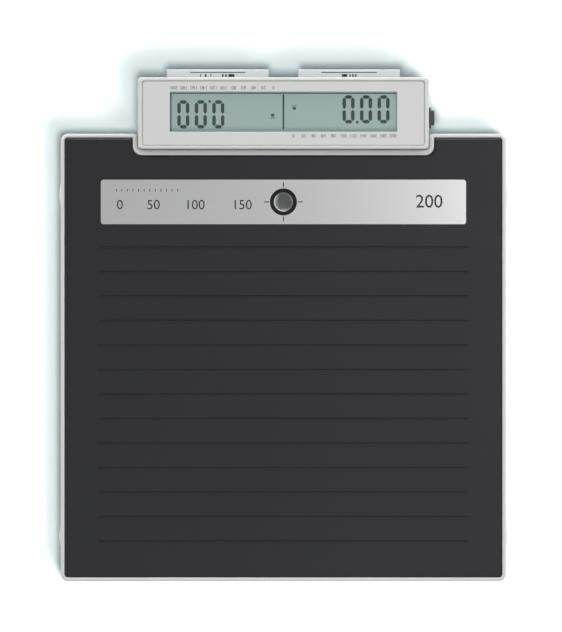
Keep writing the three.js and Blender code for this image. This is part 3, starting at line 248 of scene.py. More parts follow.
def platform_ring(inset, z):
    """The platform's outline with its notch, drawn in by an inset, at a height."""
    share = min(inset, BAND) / BAND
    beyond = max(inset - BAND, 0)
    side = NOTCH_SIDE_BAND * share + beyond
    floor = NOTCH_FLOOR_BAND * share + beyond
    x = frame_high.x - inset
    nx = notch_half + side
    ny = notch_floor - floor
    outer = max(OUTER_CORNER - inset, 1.5)
    root = NOTCH_ROOT + min(side, NOTCH_SIDE_BAND)
    tip = max(NOTCH_TIP - inset * 0.6, 0.5)
    y0 = frame_low.y + inset
    y1 = frame_high.y - inset
    path = outline([
        (-x, y0, outer), (x, y0, outer), (x, y1, outer), (nx, y1, tip),
        (nx, ny, root), (-nx, ny, root), (-nx, y1, tip), (-x, y1, outer),
    ])
    return lift(path, z)


def head_ring(inset_x, inset_y, radius, z):
    path = rectangle(
        -head_half + inset_x, head_half - inset_x, head_front + inset_y, head_rear - inset_y, radius,
    )
    return lift(path, z)


def round_over(start, end, steps):
    """Points of a quarter round from start to end, each (inset, z), upright at start, flat at end."""
    across = end[0] - start[0]
    up = end[1] - start[1]
    angles = [math.pi / 2 * k / steps for k in range(steps + 1)]
    return [(start[0] + across * (1 - math.cos(a)), start[1] + up * math.sin(a)) for a in angles]


def place_new(name, data):
    piece = bpy.data.objects.new(name, data)
    bpy.context.collection.objects.link(piece)
    return piece


def smooth(piece, sharp=SHARP):
    piece.data.shade_smooth()
    piece.data.set_sharp_from_angle(angle=math.radians(sharp))


def add(name, points, faces, look, sharp=SHARP):
    """A new object at the origin, in metres, its faces turned outwards."""
    mesh = bpy.data.meshes.new(name)
    mesh.from_pydata([Vector(p) * MM for p in points], [], faces)
    shape = bmesh.new()
    shape.from_mesh(mesh)
    bmesh.ops.remove_doubles(shape, verts=shape.verts, dist=1e-7)
    bmesh.ops.recalc_face_normals(shape, faces=shape.faces)
    shape.to_mesh(mesh)
    shape.free()
    piece = place_new(name, mesh)
    dress(piece, look, sharp)
    return piece


def dress(piece, look, sharp):
    piece.data.materials.clear()
    piece.data.materials.append(look)
    smooth(piece, sharp)


def loft(name, rings, look, closed=False, sharp=SHARP):
    """A skin through rings of equal count: capped at both ends, or closed on itself."""
    count = len(rings[0])
    points = [p for ring in rings for p in ring]
    pairs = len(rings) if closed else len(rings) - 1
    faces = []
    for k in range(pairs):
        a = k * count
        b = (k + 1) % len(rings) * count
        for i in range(count):
            j = (i + 1) % count
            faces.append((a + i, a + j, b + j, b + i))
    if not closed:
        faces.append(tuple(range(count)))
        faces.append(tuple(range((len(rings) - 1) * count, len(rings) * count)))
    return add(name, points, faces, look, sharp)


def turn(name, profile, centre, look, sides=64):
    """A turned solid about an upright axis; the profile is (radius, z), from bottom to top."""
    rings = []
    for radius, z in profile:
        r = max(radius, AXIS)
        ring = []
        for i in range(sides):
            angle = 2 * math.pi * i / sides
            ring.append((centre[0] + r * math.cos(angle), centre[1] + r * math.sin(angle), z))
        rings.append(ring)
    closed = profile[0] == profile[-1]
    if closed:
        rings.pop()
    return loft(name, rings, look, closed)


def stand_for(piece, node, body="root"):
    """A piece takes the place of a CAD node, and rides on its body."""
    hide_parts(node)
    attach(piece, body)


def slab(name, path, z0, z1, look):
    return loft(name, [lift(path, z0), lift(path, z1)], look)


def settle(piece):
    """Applies a piece's modifiers to its mesh."""
    evaluated = piece.evaluated_get(bpy.context.evaluated_depsgraph_get())
    mesh = bpy.data.meshes.new_from_object(evaluated)
    piece.modifiers.clear()
    piece.data = mesh


def carve(piece, *cutters):
    for cutter in cutters:
        change = piece.modifiers.new("carve", "BOOLEAN")
        change.operation = "DIFFERENCE"
        change.solver = "EXACT"
        change.object = cutter
    settle(piece)
    for cutter in cutters:
        bpy.data.objects.remove(cutter)
    smooth(piece)


def cutter_box(x0, x1, y0, y1, z0, z1):
    return slab("cutter", rectangle(x0, x1, y0, y1, 0.01, 1), z0, z1, plain)


def softened(node, name, ease, look, body="root"):
    """Puts a copy of a CAD node in its place, the sharp edges rounded off by ease, if any."""
    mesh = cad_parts[node].data.copy()
    shape = bmesh.new()
    shape.from_mesh(mesh)
    bmesh.ops.remove_doubles(shape, verts=shape.verts, dist=2e-6)
    if ease:
        bmesh.ops.dissolve_limit(
            shape, angle_limit=math.radians(1), verts=shape.verts, edges=shape.edges,
        )
    shape.to_mesh(mesh)
    shape.free()
    piece = place_new(name, mesh)
    if ease:
        change = piece.modifiers.new("ease", "BEVEL")
        change.width = ease * MM
        change.segments = 2
        change.limit_method = "ANGLE"
        change.angle_limit = math.radians(40)
        change.use_clamp_overlap = True
        settle(piece)
    dress(piece, look, 35)
    change = piece.modifiers.new("flat", "WEIGHTED_NORMAL")
    change.keep_sharp = True
    settle(piece)
    stand_for(piece, node, body)


def gather(name, pieces):
    """Several meshes joined as one piece."""
    mesh = bpy.data.meshes.new(name)
    shape = bmesh.new()
    for piece in pieces:
        shape.from_mesh(piece.data)
    shape.to_mesh(mesh)
    shape.free()
    mesh.materials.append(pieces[0].data.materials[0])
    for piece in pieces:
        bpy.data.objects.remove(piece)
    whole = place_new(name, mesh)
    return whole


# Node trees

def give(tree, node, inputs):
    """Each input is given a plain value or another node's output."""
    for key, value in inputs.items():
        if isinstance(value, bpy.types.NodeSocket):
            tree.links.new(value, node.inputs[key])
        else:
            node.inputs[key].default_value = value


def make(tree, kind, inputs=None, **settings):
    """A new node with its settings and inputs."""
    node = tree.nodes.new(kind)
    for name, value in settings.items():
        setattr(node, name, value)
    give(tree, node, inputs or {})
    return node


def reckon(tree, operation, *values):
    """The output of a math node."""
    return make(tree, "ShaderNodeMath", dict(enumerate(values)), operation=operation).outputs[0]


def new_group(name, kind, inputs, outputs):
    """A node group with named inputs and outputs: its tree, its outputs' node, what it is given."""
    tree = bpy.data.node_groups.new(name, kind)
    for label, socket_kind, value in inputs:
        socket = tree.interface.new_socket(label, in_out="INPUT", socket_type=socket_kind)
        if value is not None:
            socket.default_value = value
    for label, socket_kind in outputs:
        tree.interface.new_socket(label, in_out="OUTPUT", socket_type=socket_kind)
    result = tree.nodes.new("NodeGroupOutput")
    return tree, result, tree.nodes.new("NodeGroupInput").outputs


# Geometry Nodes: the same form in a row, in a ring, or at given places

def geometry_tree(name, *inputs):
    solid = "NodeSocketGeometry"
    named = [("Geometry", solid, None), *inputs, ("Finish", "NodeSocketMaterial", None)]
    return new_group(name, "GeometryNodeTree", named, [("Geometry", solid)])


def end_tree(tree, source, given, result):
    """Realize Instances and Set Material, which close each tree."""
    real = make(tree, "GeometryNodeRealizeInstances", {0: source})
    painted = make(
        tree, "GeometryNodeSetMaterial", {"Geometry": real.outputs[0], "Material": given["Finish"]},
    )
    tree.links.new(painted.outputs[0], result.inputs[0])
    return tree


def row_tree():
    """Repeats the piece that carries it along a straight row."""
    tree, result, given = geometry_tree(
        "row_of_pieces", ("Count", "NodeSocketInt", 2), ("Step", "NodeSocketVector", None),
    )
    line = make(
        tree, "GeometryNodeMeshLine", {"Count": given["Count"], "Offset": given["Step"]}, mode="OFFSET",
    )
    place = make(
        tree, "GeometryNodeInstanceOnPoints", {"Points": line.outputs[0], "Instance": given["Geometry"]},
    )
    return end_tree(tree, place.outputs[0], given, result)


def ring_tree():
    """Repeats the piece that carries it round an upright axis at Centre."""
    tree, result, given = geometry_tree(
        "ring_of_pieces", ("Count", "NodeSocketInt", 2), ("Centre", "NodeSocketVector", None),
    )
    line = make(
        tree, "GeometryNodeMeshLine", {"Count": given["Count"], "Offset": (0, 0, 0)}, mode="OFFSET",
    )
    index = make(tree, "GeometryNodeInputIndex").outputs[0]
    angle = reckon(tree, "MULTIPLY", reckon(tree, "DIVIDE", index, given["Count"]), 2 * math.pi)
    turned = make(tree, "ShaderNodeCombineXYZ", {"Z": angle})
    back = make(tree, "ShaderNodeVectorMath", {0: given["Centre"], "Scale": -1}, operation="SCALE")
    to_axis = make(
        tree, "GeometryNodeTransform", {"Geometry": given["Geometry"], "Translation": back.outputs[0]},
    )
    place = make(tree, "GeometryNodeInstanceOnPoints", {
        "Points": line.outputs[0], "Instance": to_axis.outputs[0], "Rotation": turned.outputs[0],
    })
    home = make(
        tree, "GeometryNodeTransform", {"Geometry": place.outputs[0], "Translation": given["Centre"]},
    )
    return end_tree(tree, home.outputs[0], given, result)


def spot_tree():
    """Puts a piece, made at the origin, on each point of the mesh that carries it."""
    tree, result, given = geometry_tree("piece_on_each_point", ("Piece", "NodeSocketObject", None))
    info = make(tree, "GeometryNodeObjectInfo", {"Object": given["Piece"]})
    place = make(tree, "GeometryNodeInstanceOnPoints", {
        "Points": given["Geometry"], "Instance": info.outputs["Geometry"],
    })
    return end_tree(tree, place.outputs[0], given, result)


def repeat(piece, tree, **values):
    """Runs a tree on a piece with the given inputs, and keeps the result as a plain mesh."""
    change = piece.modifiers.new("repeat", "NODES")
    change.node_group = tree
    for item in tree.interface.items_tree:
        if item.item_type == "SOCKET" and item.in_out == "INPUT" and item.name in values:
            change[item.identifier] = values[item.name]
    settle(piece)
    smooth(piece)


# Shader groups for what more than one finish uses

def grain_group():
    """Fine moulded grain as a height, and slow uneven shade over a colour."""
    tree, result, given = new_group("grain", "ShaderNodeTree", [
        ("Color", "NodeSocketColor", (0.5, 0.5, 0.5, 1)),
        ("Grain Scale", "NodeSocketFloat", 2500),
        ("Shade Scale", "NodeSocketFloat", 14),
        ("Shade", "NodeSocketFloat", 0.04),
    ], [("Color", "NodeSocketColor"), ("Height", "NodeSocketFloat"), ("Mask", "NodeSocketFloat")])
    place = make(tree, "ShaderNodeTexCoord").outputs["Object"]
    fine = make(
        tree, "ShaderNodeTexNoise", {"Vector": place, "Scale": given["Grain Scale"], "Detail": 3},
    )
    slow = make(
        tree, "ShaderNodeTexNoise", {"Vector": place, "Scale": given["Shade Scale"], "Detail": 4},
    )
    centred = reckon(tree, "SUBTRACT", slow.outputs["Fac"], 0.5)
    share = reckon(tree, "MULTIPLY_ADD", centred, given["Shade"], 1)
    shaded = make(
        tree, "ShaderNodeVectorMath", {0: given["Color"], "Scale": share}, operation="SCALE",
    )
    give(tree, result, {
        "Color": shaded.outputs[0], "Height": fine.outputs["Fac"], "Mask": slow.outputs["Fac"],
    })
    return tree


def brushed_group():
    """Streaks along X: long thin scratches as a value."""
    tree, result, given = new_group("brushed", "ShaderNodeTree", [
        ("Along", "NodeSocketFloat", 12),
        ("Across", "NodeSocketFloat", 2600),
    ], [("Value", "NodeSocketFloat")])
    stretch = make(
        tree, "ShaderNodeCombineXYZ", {"X": given["Along"], "Y": given["Across"], "Z": given["Along"]},
    )
    scaled = make(tree, "ShaderNodeVectorMath", {
        0: make(tree, "ShaderNodeTexCoord").outputs["Object"], 1: stretch.outputs[0],
    }, operation="MULTIPLY")
    streaks = make(
        tree, "ShaderNodeTexNoise", {"Vector": scaled.outputs[0], "Scale": 1, "Detail": 5},
    )
    give(tree, result, {"Value": streaks.outputs["Fac"]})
    return tree


grain = grain_group()
brushed = brushed_group()


# Finishes

def blank(name):
    look = bpy.data.materials.new(name)
    look.use_nodes = True
    return look, look.node_tree, look.node_tree.nodes["Principled BSDF"]


def use_group(tree, group, inputs):
    return make(tree, "ShaderNodeGroup", inputs, node_tree=group).outputs


def bump(tree, height, distance, strength=1):
    settings = {"Height": height, "Distance": distance * MM, "Strength": strength}
    return make(tree, "ShaderNodeBump", settings).outputs["Normal"]


def blend(tree, factor, a, b):
    """A colour between two colours."""
    inputs = {"Factor": factor, "A": (*a, 1), "B": (*b, 1)}
    return make(tree, "ShaderNodeMix", inputs, data_type="RGBA").outputs["Result"]


def spread(tree, value, low, high):
    """A value from 0 to 1 laid out between two numbers."""
    node = make(tree, "ShaderNodeMapRange", {"Value": value, "To Min": low, "To Max": high})
    return node.outputs["Result"]


def ramp(tree, value, start, end):
    """0 up to one length, in millimetres, and 1 from another on."""
    node = make(
        tree, "ShaderNodeMapRange", {"Value": value, "From Min": start * MM, "From Max": end * MM},
    )
    return node.outputs["Result"]


def moulded(name, colour, roughness, grain_scale=2500, depth=0.02, shade=0.05, specular=0.5, coat=0):
    """Moulded plastic or rubber: fine grain, a little unevenness in shade and in gloss."""
    look, tree, shader = blank(name)
    texture = use_group(
        tree, grain, {"Color": (*colour, 1), "Grain Scale": grain_scale, "Shade": shade},
    )
    give(tree, shader, {
        "Base Color": texture["Color"],
        "Roughness": spread(tree, texture["Mask"], roughness - 0.06, roughness + 0.06),
        "Normal": bump(tree, texture["Height"], depth),
        "Specular IOR Level": specular,
        "Coat Weight": coat,
    })
    return look


def metal(name, colour, roughness, along, across, streak, depth=0.004, uneven=0.08):
    """Rolled, milled or brushed metal with streaks along X."""
    look, tree, shader = blank(name)
    streaks = use_group(tree, brushed, {"Along": along, "Across": across})["Value"]
    dark = [c * (1 - streak) for c in colour]
    light = [min(c * (1 + streak), 1) for c in colour]
    give(tree, shader, {
        "Base Color": blend(tree, streaks, dark, light),
        "Roughness": spread(tree, streaks, roughness - uneven, roughness + uneven),
        "Normal": bump(tree, streaks, depth),
        "Metallic": 1,
    })
    return look


def clear(name, colour, alpha):
    """A clear cover: mostly see-through, with its own gloss and faint haze."""
    look, tree, shader = blank(name)
    texture = use_group(tree, grain, {"Color": (*colour, 1), "Grain Scale": 400})
    give(tree, shader, {
        "Base Color": texture["Color"],
        "Alpha": spread(tree, texture["Mask"], alpha * 0.9, alpha * 1.1),
        "Roughness": 0.04,
    })
    return look


def two_tones(tree, value, low, high):
    """A colour ramp between two tones, each (position, colour)."""
    node = make(tree, "ShaderNodeValToRGB", {"Fac": value})
    for element, (position, colour) in zip(node.color_ramp.elements, (low, high)):
        element.position = position
        element.color = (*colour, 1)
    return node.outputs["Color"]


def circuit(name):
    """Green solder mask over a net of tracks."""
    look, tree, shader = blank(name)
    place = make(tree, "ShaderNodeTexCoord").outputs["Object"]
    cells = make(tree, "ShaderNodeTexVoronoi", {"Vector": place, "Scale": 260}, distance="MANHATTAN")
    tracks = cells.outputs["Distance"]
    give(tree, shader, {
        "Base Color": two_tones(tree, tracks, (0.02, (0.02, 0.2, 0.09)), (0.06, (0.008, 0.1, 0.04))),
        "Normal": bump(tree, tracks, 0.02, 0.4),
        "Roughness": 0.35,
    })
    return look


def vial_painted_shading_finish(name):
    """A milky cup with painted light and shade: lighter towards the front left, darker towards the rear
    right, in place of how light falls in a filled vial.
    """
    look, tree, shader = blank(name)
    place = make(tree, "ShaderNodeTexCoord").outputs["Object"]
    centred = make(tree, "ShaderNodeVectorMath", {0: place, 1: level * MM}, operation="SUBTRACT")
    towards_painted_light = make(
        tree, "ShaderNodeVectorMath", {0: centred.outputs[0], 1: (-0.8, -0.6, 0)},
        operation="DOT_PRODUCT",
    )
    # Painted light and shade: the cup's colour ramps from dark to light across the vial.
    across = ramp(tree, towards_painted_light.outputs["Value"], -VIAL_RADIUS * 0.15, VIAL_RADIUS * 0.45)
    cloud = use_group(tree, grain, {"Shade Scale": 300})
    give(tree, shader, {
        "Base Color": two_tones(tree, across, (0, (0.2, 0.202, 0.205)), (1, (0.87, 0.88, 0.88))),
        "Roughness": spread(tree, cloud["Mask"], 0.3, 0.45),
    })
    return look


plain = moulded("plain_grey", (0.5, 0.5, 0.5), 0.5)
shell_grey = moulded("shell_grey", (0.62, 0.62, 0.615), 0.36, depth=0.006)
bezel_grey = moulded("bezel_grey", (0.60, 0.60, 0.598), 0.42, depth=0.008)
key_grey = moulded("key_grey", (0.53, 0.551, 0.562), 0.34, depth=0.005)
tray_grey = moulded("tray_grey", (0.55, 0.55, 0.545), 0.52, grain_scale=1400, depth=0.03)
wheel_white = moulded("wheel_white", (0.82, 0.83, 0.83), 0.4, grain_scale=1800, depth=0.015)
mat_rubber = moulded("mat_rubber", (0.0174, 0.0180, 0.0215), 0.36, 1500, 0.006, 0.12, specular=0.22)
foot_rubber = moulded("foot_rubber", (0.02, 0.02, 0.022), 0.8, 1200, 0.05, 0.15, specular=0.2)
bung_rubber = moulded("bung_rubber", (0.055, 0.06, 0.066), 0.6, 1500, 0.03, 0.1, specular=0.3)
black_plastic = moulded("black_plastic", (0.018, 0.018, 0.02), 0.35, depth=0.006)
collar_black = moulded("collar_black", (0.01, 0.01, 0.011), 0.5, depth=0.01, specular=0.12)
strip_rubber = moulded("strip_rubber", (0.5, 0.3, 0.3), 0.75, 900, 0.03)
lead_jacket = moulded("lead_jacket", (0.07, 0.07, 0.08), 0.6, 900, 0.02)
battery_sleeve = moulded("battery_sleeve", (0.03, 0.08, 0.2), 0.3, 600, 0.004, coat=0.4)
vial_cup = vial_painted_shading_finish("vial_cup")
lcd_glass = moulded("lcd_glass", (0.42, 0.565, 0.548), 0.3, 3500, 0.002, 0.05, specular=0.3)
lcd_ink = moulded("lcd_ink", (0.028, 0.055, 0.052), 0.4, 3500, 0.002, 0.1, specular=0.1)
print_grey = moulded("print_grey", (0.12, 0.12, 0.12), 0.6, 3000, 0.002, specular=0.2)
print_dark = moulded("print_dark", (0.025, 0.025, 0.028), 0.5, 3000, 0.002, specular=0.15)
plate_steel = metal("plate_steel", (0.45, 0.46, 0.47), 0.45, 120, 700, 0.12)
nickel = metal("nickel", (0.6, 0.6, 0.59), 0.25, 40, 900, 0.06)
cell_aluminium = metal("cell_aluminium", (0.62, 0.63, 0.64), 0.38, 60, 1800, 0.08)
brushed_label = metal("brushed_label", (0.378, 0.38, 0.38), 0.25, 14, 4200, 0.025, 0.001, 0.03)
clear_cover = clear("clear_cover", (0.9, 0.93, 0.93), 0.02)
vial_glass = clear("vial_glass", (0.85, 0.87, 0.87), 0.04)
vial_fluid = clear("vial_fluid", (0.25, 0.26, 0.26), 0.06)
vial_bubble = clear("vial_bubble", (0.1, 0.105, 0.105), 0.35)
circuit_green = circuit("circuit_green")


# Platform

def frame_shell():
    top = platform_top
    foot = frame_low.z
    ledge_top = plate_top - PLATE
    ledge_low = ledge_top - LEDGE_THICKNESS
    profile = [(0, foot)]
    profile += round_over((0, top - FRAME_ROUND), (FRAME_CREST, top), 8)
    profile += reversed(round_over((BAND, top - FRAME_FALL), (FRAME_CREST, top), 6)[:-1])
    profile += [(BAND, ledge_top)]
    profile += [(BAND + LEDGE, ledge_top), (BAND + LEDGE, ledge_low), (BAND, ledge_low), (BAND, foot)]
    rings = [platform_ring(inset, z) for inset, z in profile]
    piece = loft("frame_shell", rings, shell_grey, closed=True)
    stand_for(piece, "top_frame")


def mat_rim():
    """The mat's edge, a closed strip along the frame and the notch."""
    foot = plate_top
    skirt = BAND + SEAT
    edge = skirt + MAT_LIP
    step = platform_top - 0.75 * MAT_EDGE
    profile = [
        (MAT_FACE, foot), (skirt, foot), (skirt, step - 0.15), (skirt + 0.1, step), (edge, step),
        (MAT_FACE, platform_top),
    ]
    rings = [platform_ring(inset, z) for inset, z in profile]
    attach(loft("mat_rim", rings, mat_rubber, closed=True), "root")


def mat_face():
    """The mat's flat face, cut out for the label and the bubble level."""
    rings = [platform_ring(MAT_FACE, z) for z in (plate_top, platform_top)]
    piece = loft("ribbed_mat", rings, mat_rubber)
    over = platform_top + 1
    pocket = rectangle(
        label_low.x - SEAT, label_high.x + SEAT, label_low.y - SEAT, label_high.y + SEAT,
        LABEL_CORNER + SEAT,
    )
    hole = turn("hole", [(LEVEL_EYE, plate_top - 1), (LEVEL_EYE, over)], level, plain)
    carve(piece, slab("pocket", pocket, label_low.z, over, plain), hole)
    return piece


def mat_treads():
    """Raised ribs across the mat, each highest towards the front."""
    foot, crown = platform_top, mat_top
    half = TREAD_WIDTH / 2
    x = frame_high.x - TREAD_END_INSET
    y = frame_high.y - TREAD_REAR_INSET
    rise = crown - foot
    section = [
        (-half, foot - TREAD_ROOT), (half, foot - TREAD_ROOT), (half, foot + rise * 0.06),
        (half * 0.3, foot + rise * 0.72), (-half * 0.2, crown - rise * 0.05), (-half * 0.4, crown),
        (-half * 0.7, crown - rise * 0.08), (-half * 0.93, crown - rise * 0.35), (-half, foot),
    ]
    ends = [(-x, 0.55), (-x + 0.5, 1), (x - 0.5, 1), (x, 0.55)]
    rings = [[(ex, y + sy * width, sz) for sy, sz in section] for ex, width in ends]
    treads = loft("mat_treads", rings, mat_rubber)
    pitch = (frame_high.y - frame_low.y - TREAD_REAR_INSET - TREAD_FRONT_INSET) / (TREAD_COUNT - 1)
    repeat(treads, row_of, Count=TREAD_COUNT, Step=(0, -pitch * MM, 0), Finish=mat_rubber)
    return treads


def mat():
    mat_rim()
    whole = gather("rubber_mat_ribbed", [mat_face(), mat_treads()])
    smooth(whole)
    stand_for(whole, "rubber_mat")
    return whole


def label():
    x = label_high.x
    y0, y1 = label_low.y, label_high.y
    z0, z1 = label_low.z, label_high.z
    outer = rectangle(-x, x, y0, y1, LABEL_CORNER)
    top = rectangle(-x + LABEL_EDGE, x - LABEL_EDGE, y0 + LABEL_EDGE, y1 - LABEL_EDGE, LABEL_CORNER)
    rings = [lift(outer, z0), lift(outer, z1 - LABEL_EDGE), lift(top, z1)]
    piece = loft("brushed_plate", rings, brushed_label)
    hole = turn("hole", [(LEVEL_EYE, z0 - 1), (LEVEL_EYE, z1 + 1)], level, plain)
    carve(piece, hole)
    stand_for(piece, "label_plate")
    return piece


# Bubble level

def bubble_level():
    low, high = span("level_collar")
    face = label_high.z
    neck = VIAL_RADIUS + SEAT
    shaft = LEVEL_EYE - SEAT
    collar = turn("level_ring", [
        (neck - 1, low.z), (shaft, low.z), (shaft, face), (COLLAR_RADIUS, face),
        (COLLAR_RADIUS, face + 0.35), (COLLAR_RADIUS - 0.25, face + 0.7),
        (COLLAR_RADIUS - 0.7, high.z), (neck + 0.9, high.z), (neck + 0.3, face + 0.55),
        (neck, face + 0.3), (neck, low.z + 1), (neck - 1, low.z + 1), (neck - 1, low.z),
    ], level, collar_black, 96)
    stand_for(collar, "level_collar")
    vial()
    lens()
    bubble()
    level_circles()


def vial():
    """The cup and the fluid in it."""
    low, high = span("level_vial")
    base = low.z + 1.4
    cup = turn("vial_cup", [
        (0, low.z), (VIAL_RADIUS - 0.3, low.z), (VIAL_RADIUS, low.z + 0.3),
        (VIAL_RADIUS, high.z), (VIAL_MOUTH, high.z), (VIAL_FLOOR, base), (0, base),
    ], level, vial_cup)
    stand_for(cup, "level_vial")
    fluid = turn("vial_filling", [
        (0, base), (VIAL_FLOOR - 0.02, base + 0.01), (VIAL_MOUTH - 0.02, high.z - 0.01),
        (0, high.z - 0.01),
    ], level, vial_fluid)
    stand_for(fluid, "level_fluid")


def lens():
    """The vial's domed glass, a hair above the cup."""
    low, high = span("level_glass")
    under = low.z + 0.03
    edge = low.z + GLASS_RIM
    dome = [(0, under), (VIAL_RADIUS, under), (VIAL_RADIUS, edge)]
    for k in range(1, 8):
        out = 1 - k / 7
        dome.append((VIAL_RADIUS * out, edge + (high.z - edge) * (1 - out ** 2)))
    stand_for(turn("vial_lens", dome, level, vial_glass), "level_glass")


def bubble():
    low, high = span("level_bubble")
    drop = [(0, low.z)]
    for k in range(1, 8):
        angle = math.pi / 2 * k / 7
        height = high.z - (high.z - low.z) * (0.25 + 0.75 * math.cos(angle))
        drop.append((BUBBLE_RADIUS * math.sin(angle), height))
    drop += [(BUBBLE_RADIUS - 0.15, high.z), (0, high.z)]
    stand_for(turn("level_air", drop, level, vial_bubble, 48), "level_bubble")


def level_circles():
    top = span("level_vial")[1].z
    z0, z1 = top - 0.04, top - 0.01
    rings = []
    for radius in CIRCLES:
        rim = radius + CIRCLE_WIDTH
        profile = [(radius, z0), (rim, z0), (rim, z1), (radius, z1), (radius, z0)]
        rings.append(turn("ring", profile, level, print_dark, 48))
    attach(gather("level_circles", rings), "root")


# Display head

def head_shell():
    foot = shell_low.z
    top = shell_high.z
    deck = bezel_low.z
    under = deck - DECK
    rings = [head_ring(0, 0, HEAD_CORNER, foot)]
    for inset, z in round_over((0, top - HEAD_EDGE), (HEAD_EDGE, top), 6):
        rings.append(head_ring(inset, inset, max(HEAD_CORNER - inset * 0.4, 1), z))
    rings.append(head_ring(HEAD_EDGE + 0.2, HEAD_EDGE + 0.2, HEAD_CORNER - 0.5, top))
    for out, z in ((0.4, top), (0.2, top), (0, top - 0.2), (0, deck)):
        rings.append(head_ring(RIM_SIDE - out, RIM_END - out, POCKET_CORNER + out, z))
    clear_of = 2 * LCD_MARGIN
    opening = oblong(0, lcd_middle, 2 * LCD_HALF + clear_of, LCD_DEPTH + clear_of, 0.5)
    rings += [lift(opening, deck), lift(opening, under)]
    rings += [head_ring(HEAD_WALL, HEAD_WALL, 0.8, z) for z in (under, foot)]
    piece = loft("head_shell", rings, shell_grey, closed=True)
    cutters = []
    for hand in HANDS:
        low, high = span(f"key_{hand}")
        cutters.append(cutter_box(
            low.x + KEY_LIP - KEY_GAP, high.x - KEY_LIP + KEY_GAP,
            head_rear - HEAD_WALL - 1, head_rear + 1, foot + KEY_SILL, under,
        ))
    carve(piece, *cutters, bung_hole())
    stand_for(piece, "display_shell")


def bung_hole():
    """The cutter for the round hole in the head's right wall."""
    bung = middle("socket_bung")
    ring = []
    for i in range(32):
        angle = 2 * math.pi * i / 32
        ring.append((bung.y + BUNG_HOLE * math.cos(angle), bung.z + BUNG_HOLE * math.sin(angle)))
    ends = (head_half - HEAD_WALL - 1, head_half + 1)
    return loft("hole", [[(x, y, z) for y, z in ring] for x in ends], plain)


def bezel():
    low, high = bezel_low.z, bezel_high.z
    outer_x = RIM_SIDE + SEAT
    outer_y = RIM_END + SEAT
    rings = []
    for inset, radius, z in (
        (0, 1.4, low), (0, 1.4, high - 0.3), (0.1, 1.35, high - 0.1), (0.3, 1.2, high), (0.5, 1.1, high),
    ):
        rings.append(head_ring(outer_x + inset, outer_y + inset, radius, z))
    for grow, z in ((0.55, high), (0.35, high), (0.1, high - 0.12), (0, high - 0.4), (0, low)):
        path = oblong(0, lcd_middle, 2 * (LCD_HALF + grow), LCD_DEPTH + 2 * grow, 0.6 + grow)
        rings.append(lift(path, z))
    piece = loft("head_bezel", rings, bezel_grey, closed=True)
    stand_for(piece, "display_bezel")


# The places that each bar of a zero joins, in shares of its width and height
ZERO = (
    ((0, 1), (1, 1)), ((0, 0.5), (0, 1)), ((1, 0.5), (1, 1)),
    ((0, 0), (0, 0.5)), ((1, 0), (1, 0.5)), ((0, 0), (1, 0)),
)


def segment(ends, x0, y0, turned):
    """One bar of a digit, with mitred ends."""
    gap = 0.3
    half = DIGIT_STROKE / 2
    wide = DIGIT_WIDTH - DIGIT_STROKE
    tall = DIGIT_HEIGHT - DIGIT_STROKE
    (ax, ay), (bx, by) = ends
    a = Vector((x0 + half + ax * wide, y0 + half + ay * tall))
    b = Vector((x0 + half + bx * wide, y0 + half + by * tall))
    along = (b - a).normalized()
    across = Vector((-along.y, along.x))
    a += along * gap
    b -= along * gap
    path = [
        a, a + along * half - across * half, b - along * half - across * half,
        b, b - along * half + across * half, a + along * half + across * half,
    ]
    if turned:
        centre = Vector((0, lcd_middle))
        path = [2 * centre - p for p in path]
    return slab("bar", [(p.x, p.y) for p in path], lcd_face, lcd_face + PRINT, lcd_ink)


def lcd_patch(x, up, wide, deep, radius):
    """A dark patch on the LCD, its place counted from the LCD's middle."""
    path = oblong(x, lcd_middle + up, wide, deep, radius, 3)
    return slab("patch", path, lcd_face, lcd_face + PRINT, lcd_ink)


def lcd_layers():
    """The LCD's two layers of glass, the lower one wider by a step."""
    half = lcd_high.y - lcd_middle
    step_z = lcd_low.z + LCD_STEP
    rings = []
    for inset, z in ((0, lcd_low.z), (0, step_z), (LCD_STEP, step_z), (LCD_STEP, lcd_face)):
        path = oblong(0, lcd_middle, 2 * (lcd_high.x - inset), 2 * (half - inset), 0.4)
        rings.append(lift(path, z))
    layers = loft("lcd_layers", rings, lcd_glass)
    stand_for(layers, "lcd_panel")
    return layers


def lcd_reading():
    """The weight twice, the second time turned half round, with a line between the two, and dark lines
    along the rear and left edges as painted shadow of the bezel's rim.
    """
    bars = []
    for sign in (1, -1):
        for i in range(3):
            x = DIGIT_FIRST + i * DIGIT_PITCH
            bars += [segment(ends, x, lcd_middle + DIGIT_FOOT, sign < 0) for ends in ZERO]
        point_x = DIGIT_FIRST + (DIGIT_WIDTH + DIGIT_PITCH) / 2
        bars.append(lcd_patch(sign * point_x, sign * (DIGIT_FOOT + POINT / 2), POINT, POINT, 0.3))
        for x, up, wide, deep, radius in LCD_SYMBOL:
            bars.append(lcd_patch(sign * x, sign * up, wide, deep, radius))
    # The rear and left lines are painted shadow of the bezel's rim, the middle one a printed divider.
    for line in (LCD_MIDDLE_LINE, LCD_REAR_SHADOW_LINE, LCD_LEFT_SHADOW_LINE):
        bars.append(lcd_patch(*line, 0.1))
    reading = gather("lcd_reading", bars)
    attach(reading, "root")
    return reading


def display():
    """The LCD and the clear pane over it."""
    lcd = lcd_layers(), lcd_reading()
    softened("display_window", "clear_pane", 0.2, clear_cover)
    return lcd


def keys():
    for hand in HANDS:
        body = f"key_{hand}_body"
        softened(f"key_{hand}", f"key_cap_{hand}", 0.3, key_grey, body)
        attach(gather(f"key_marks_{hand}", key_marks(hand)), body)


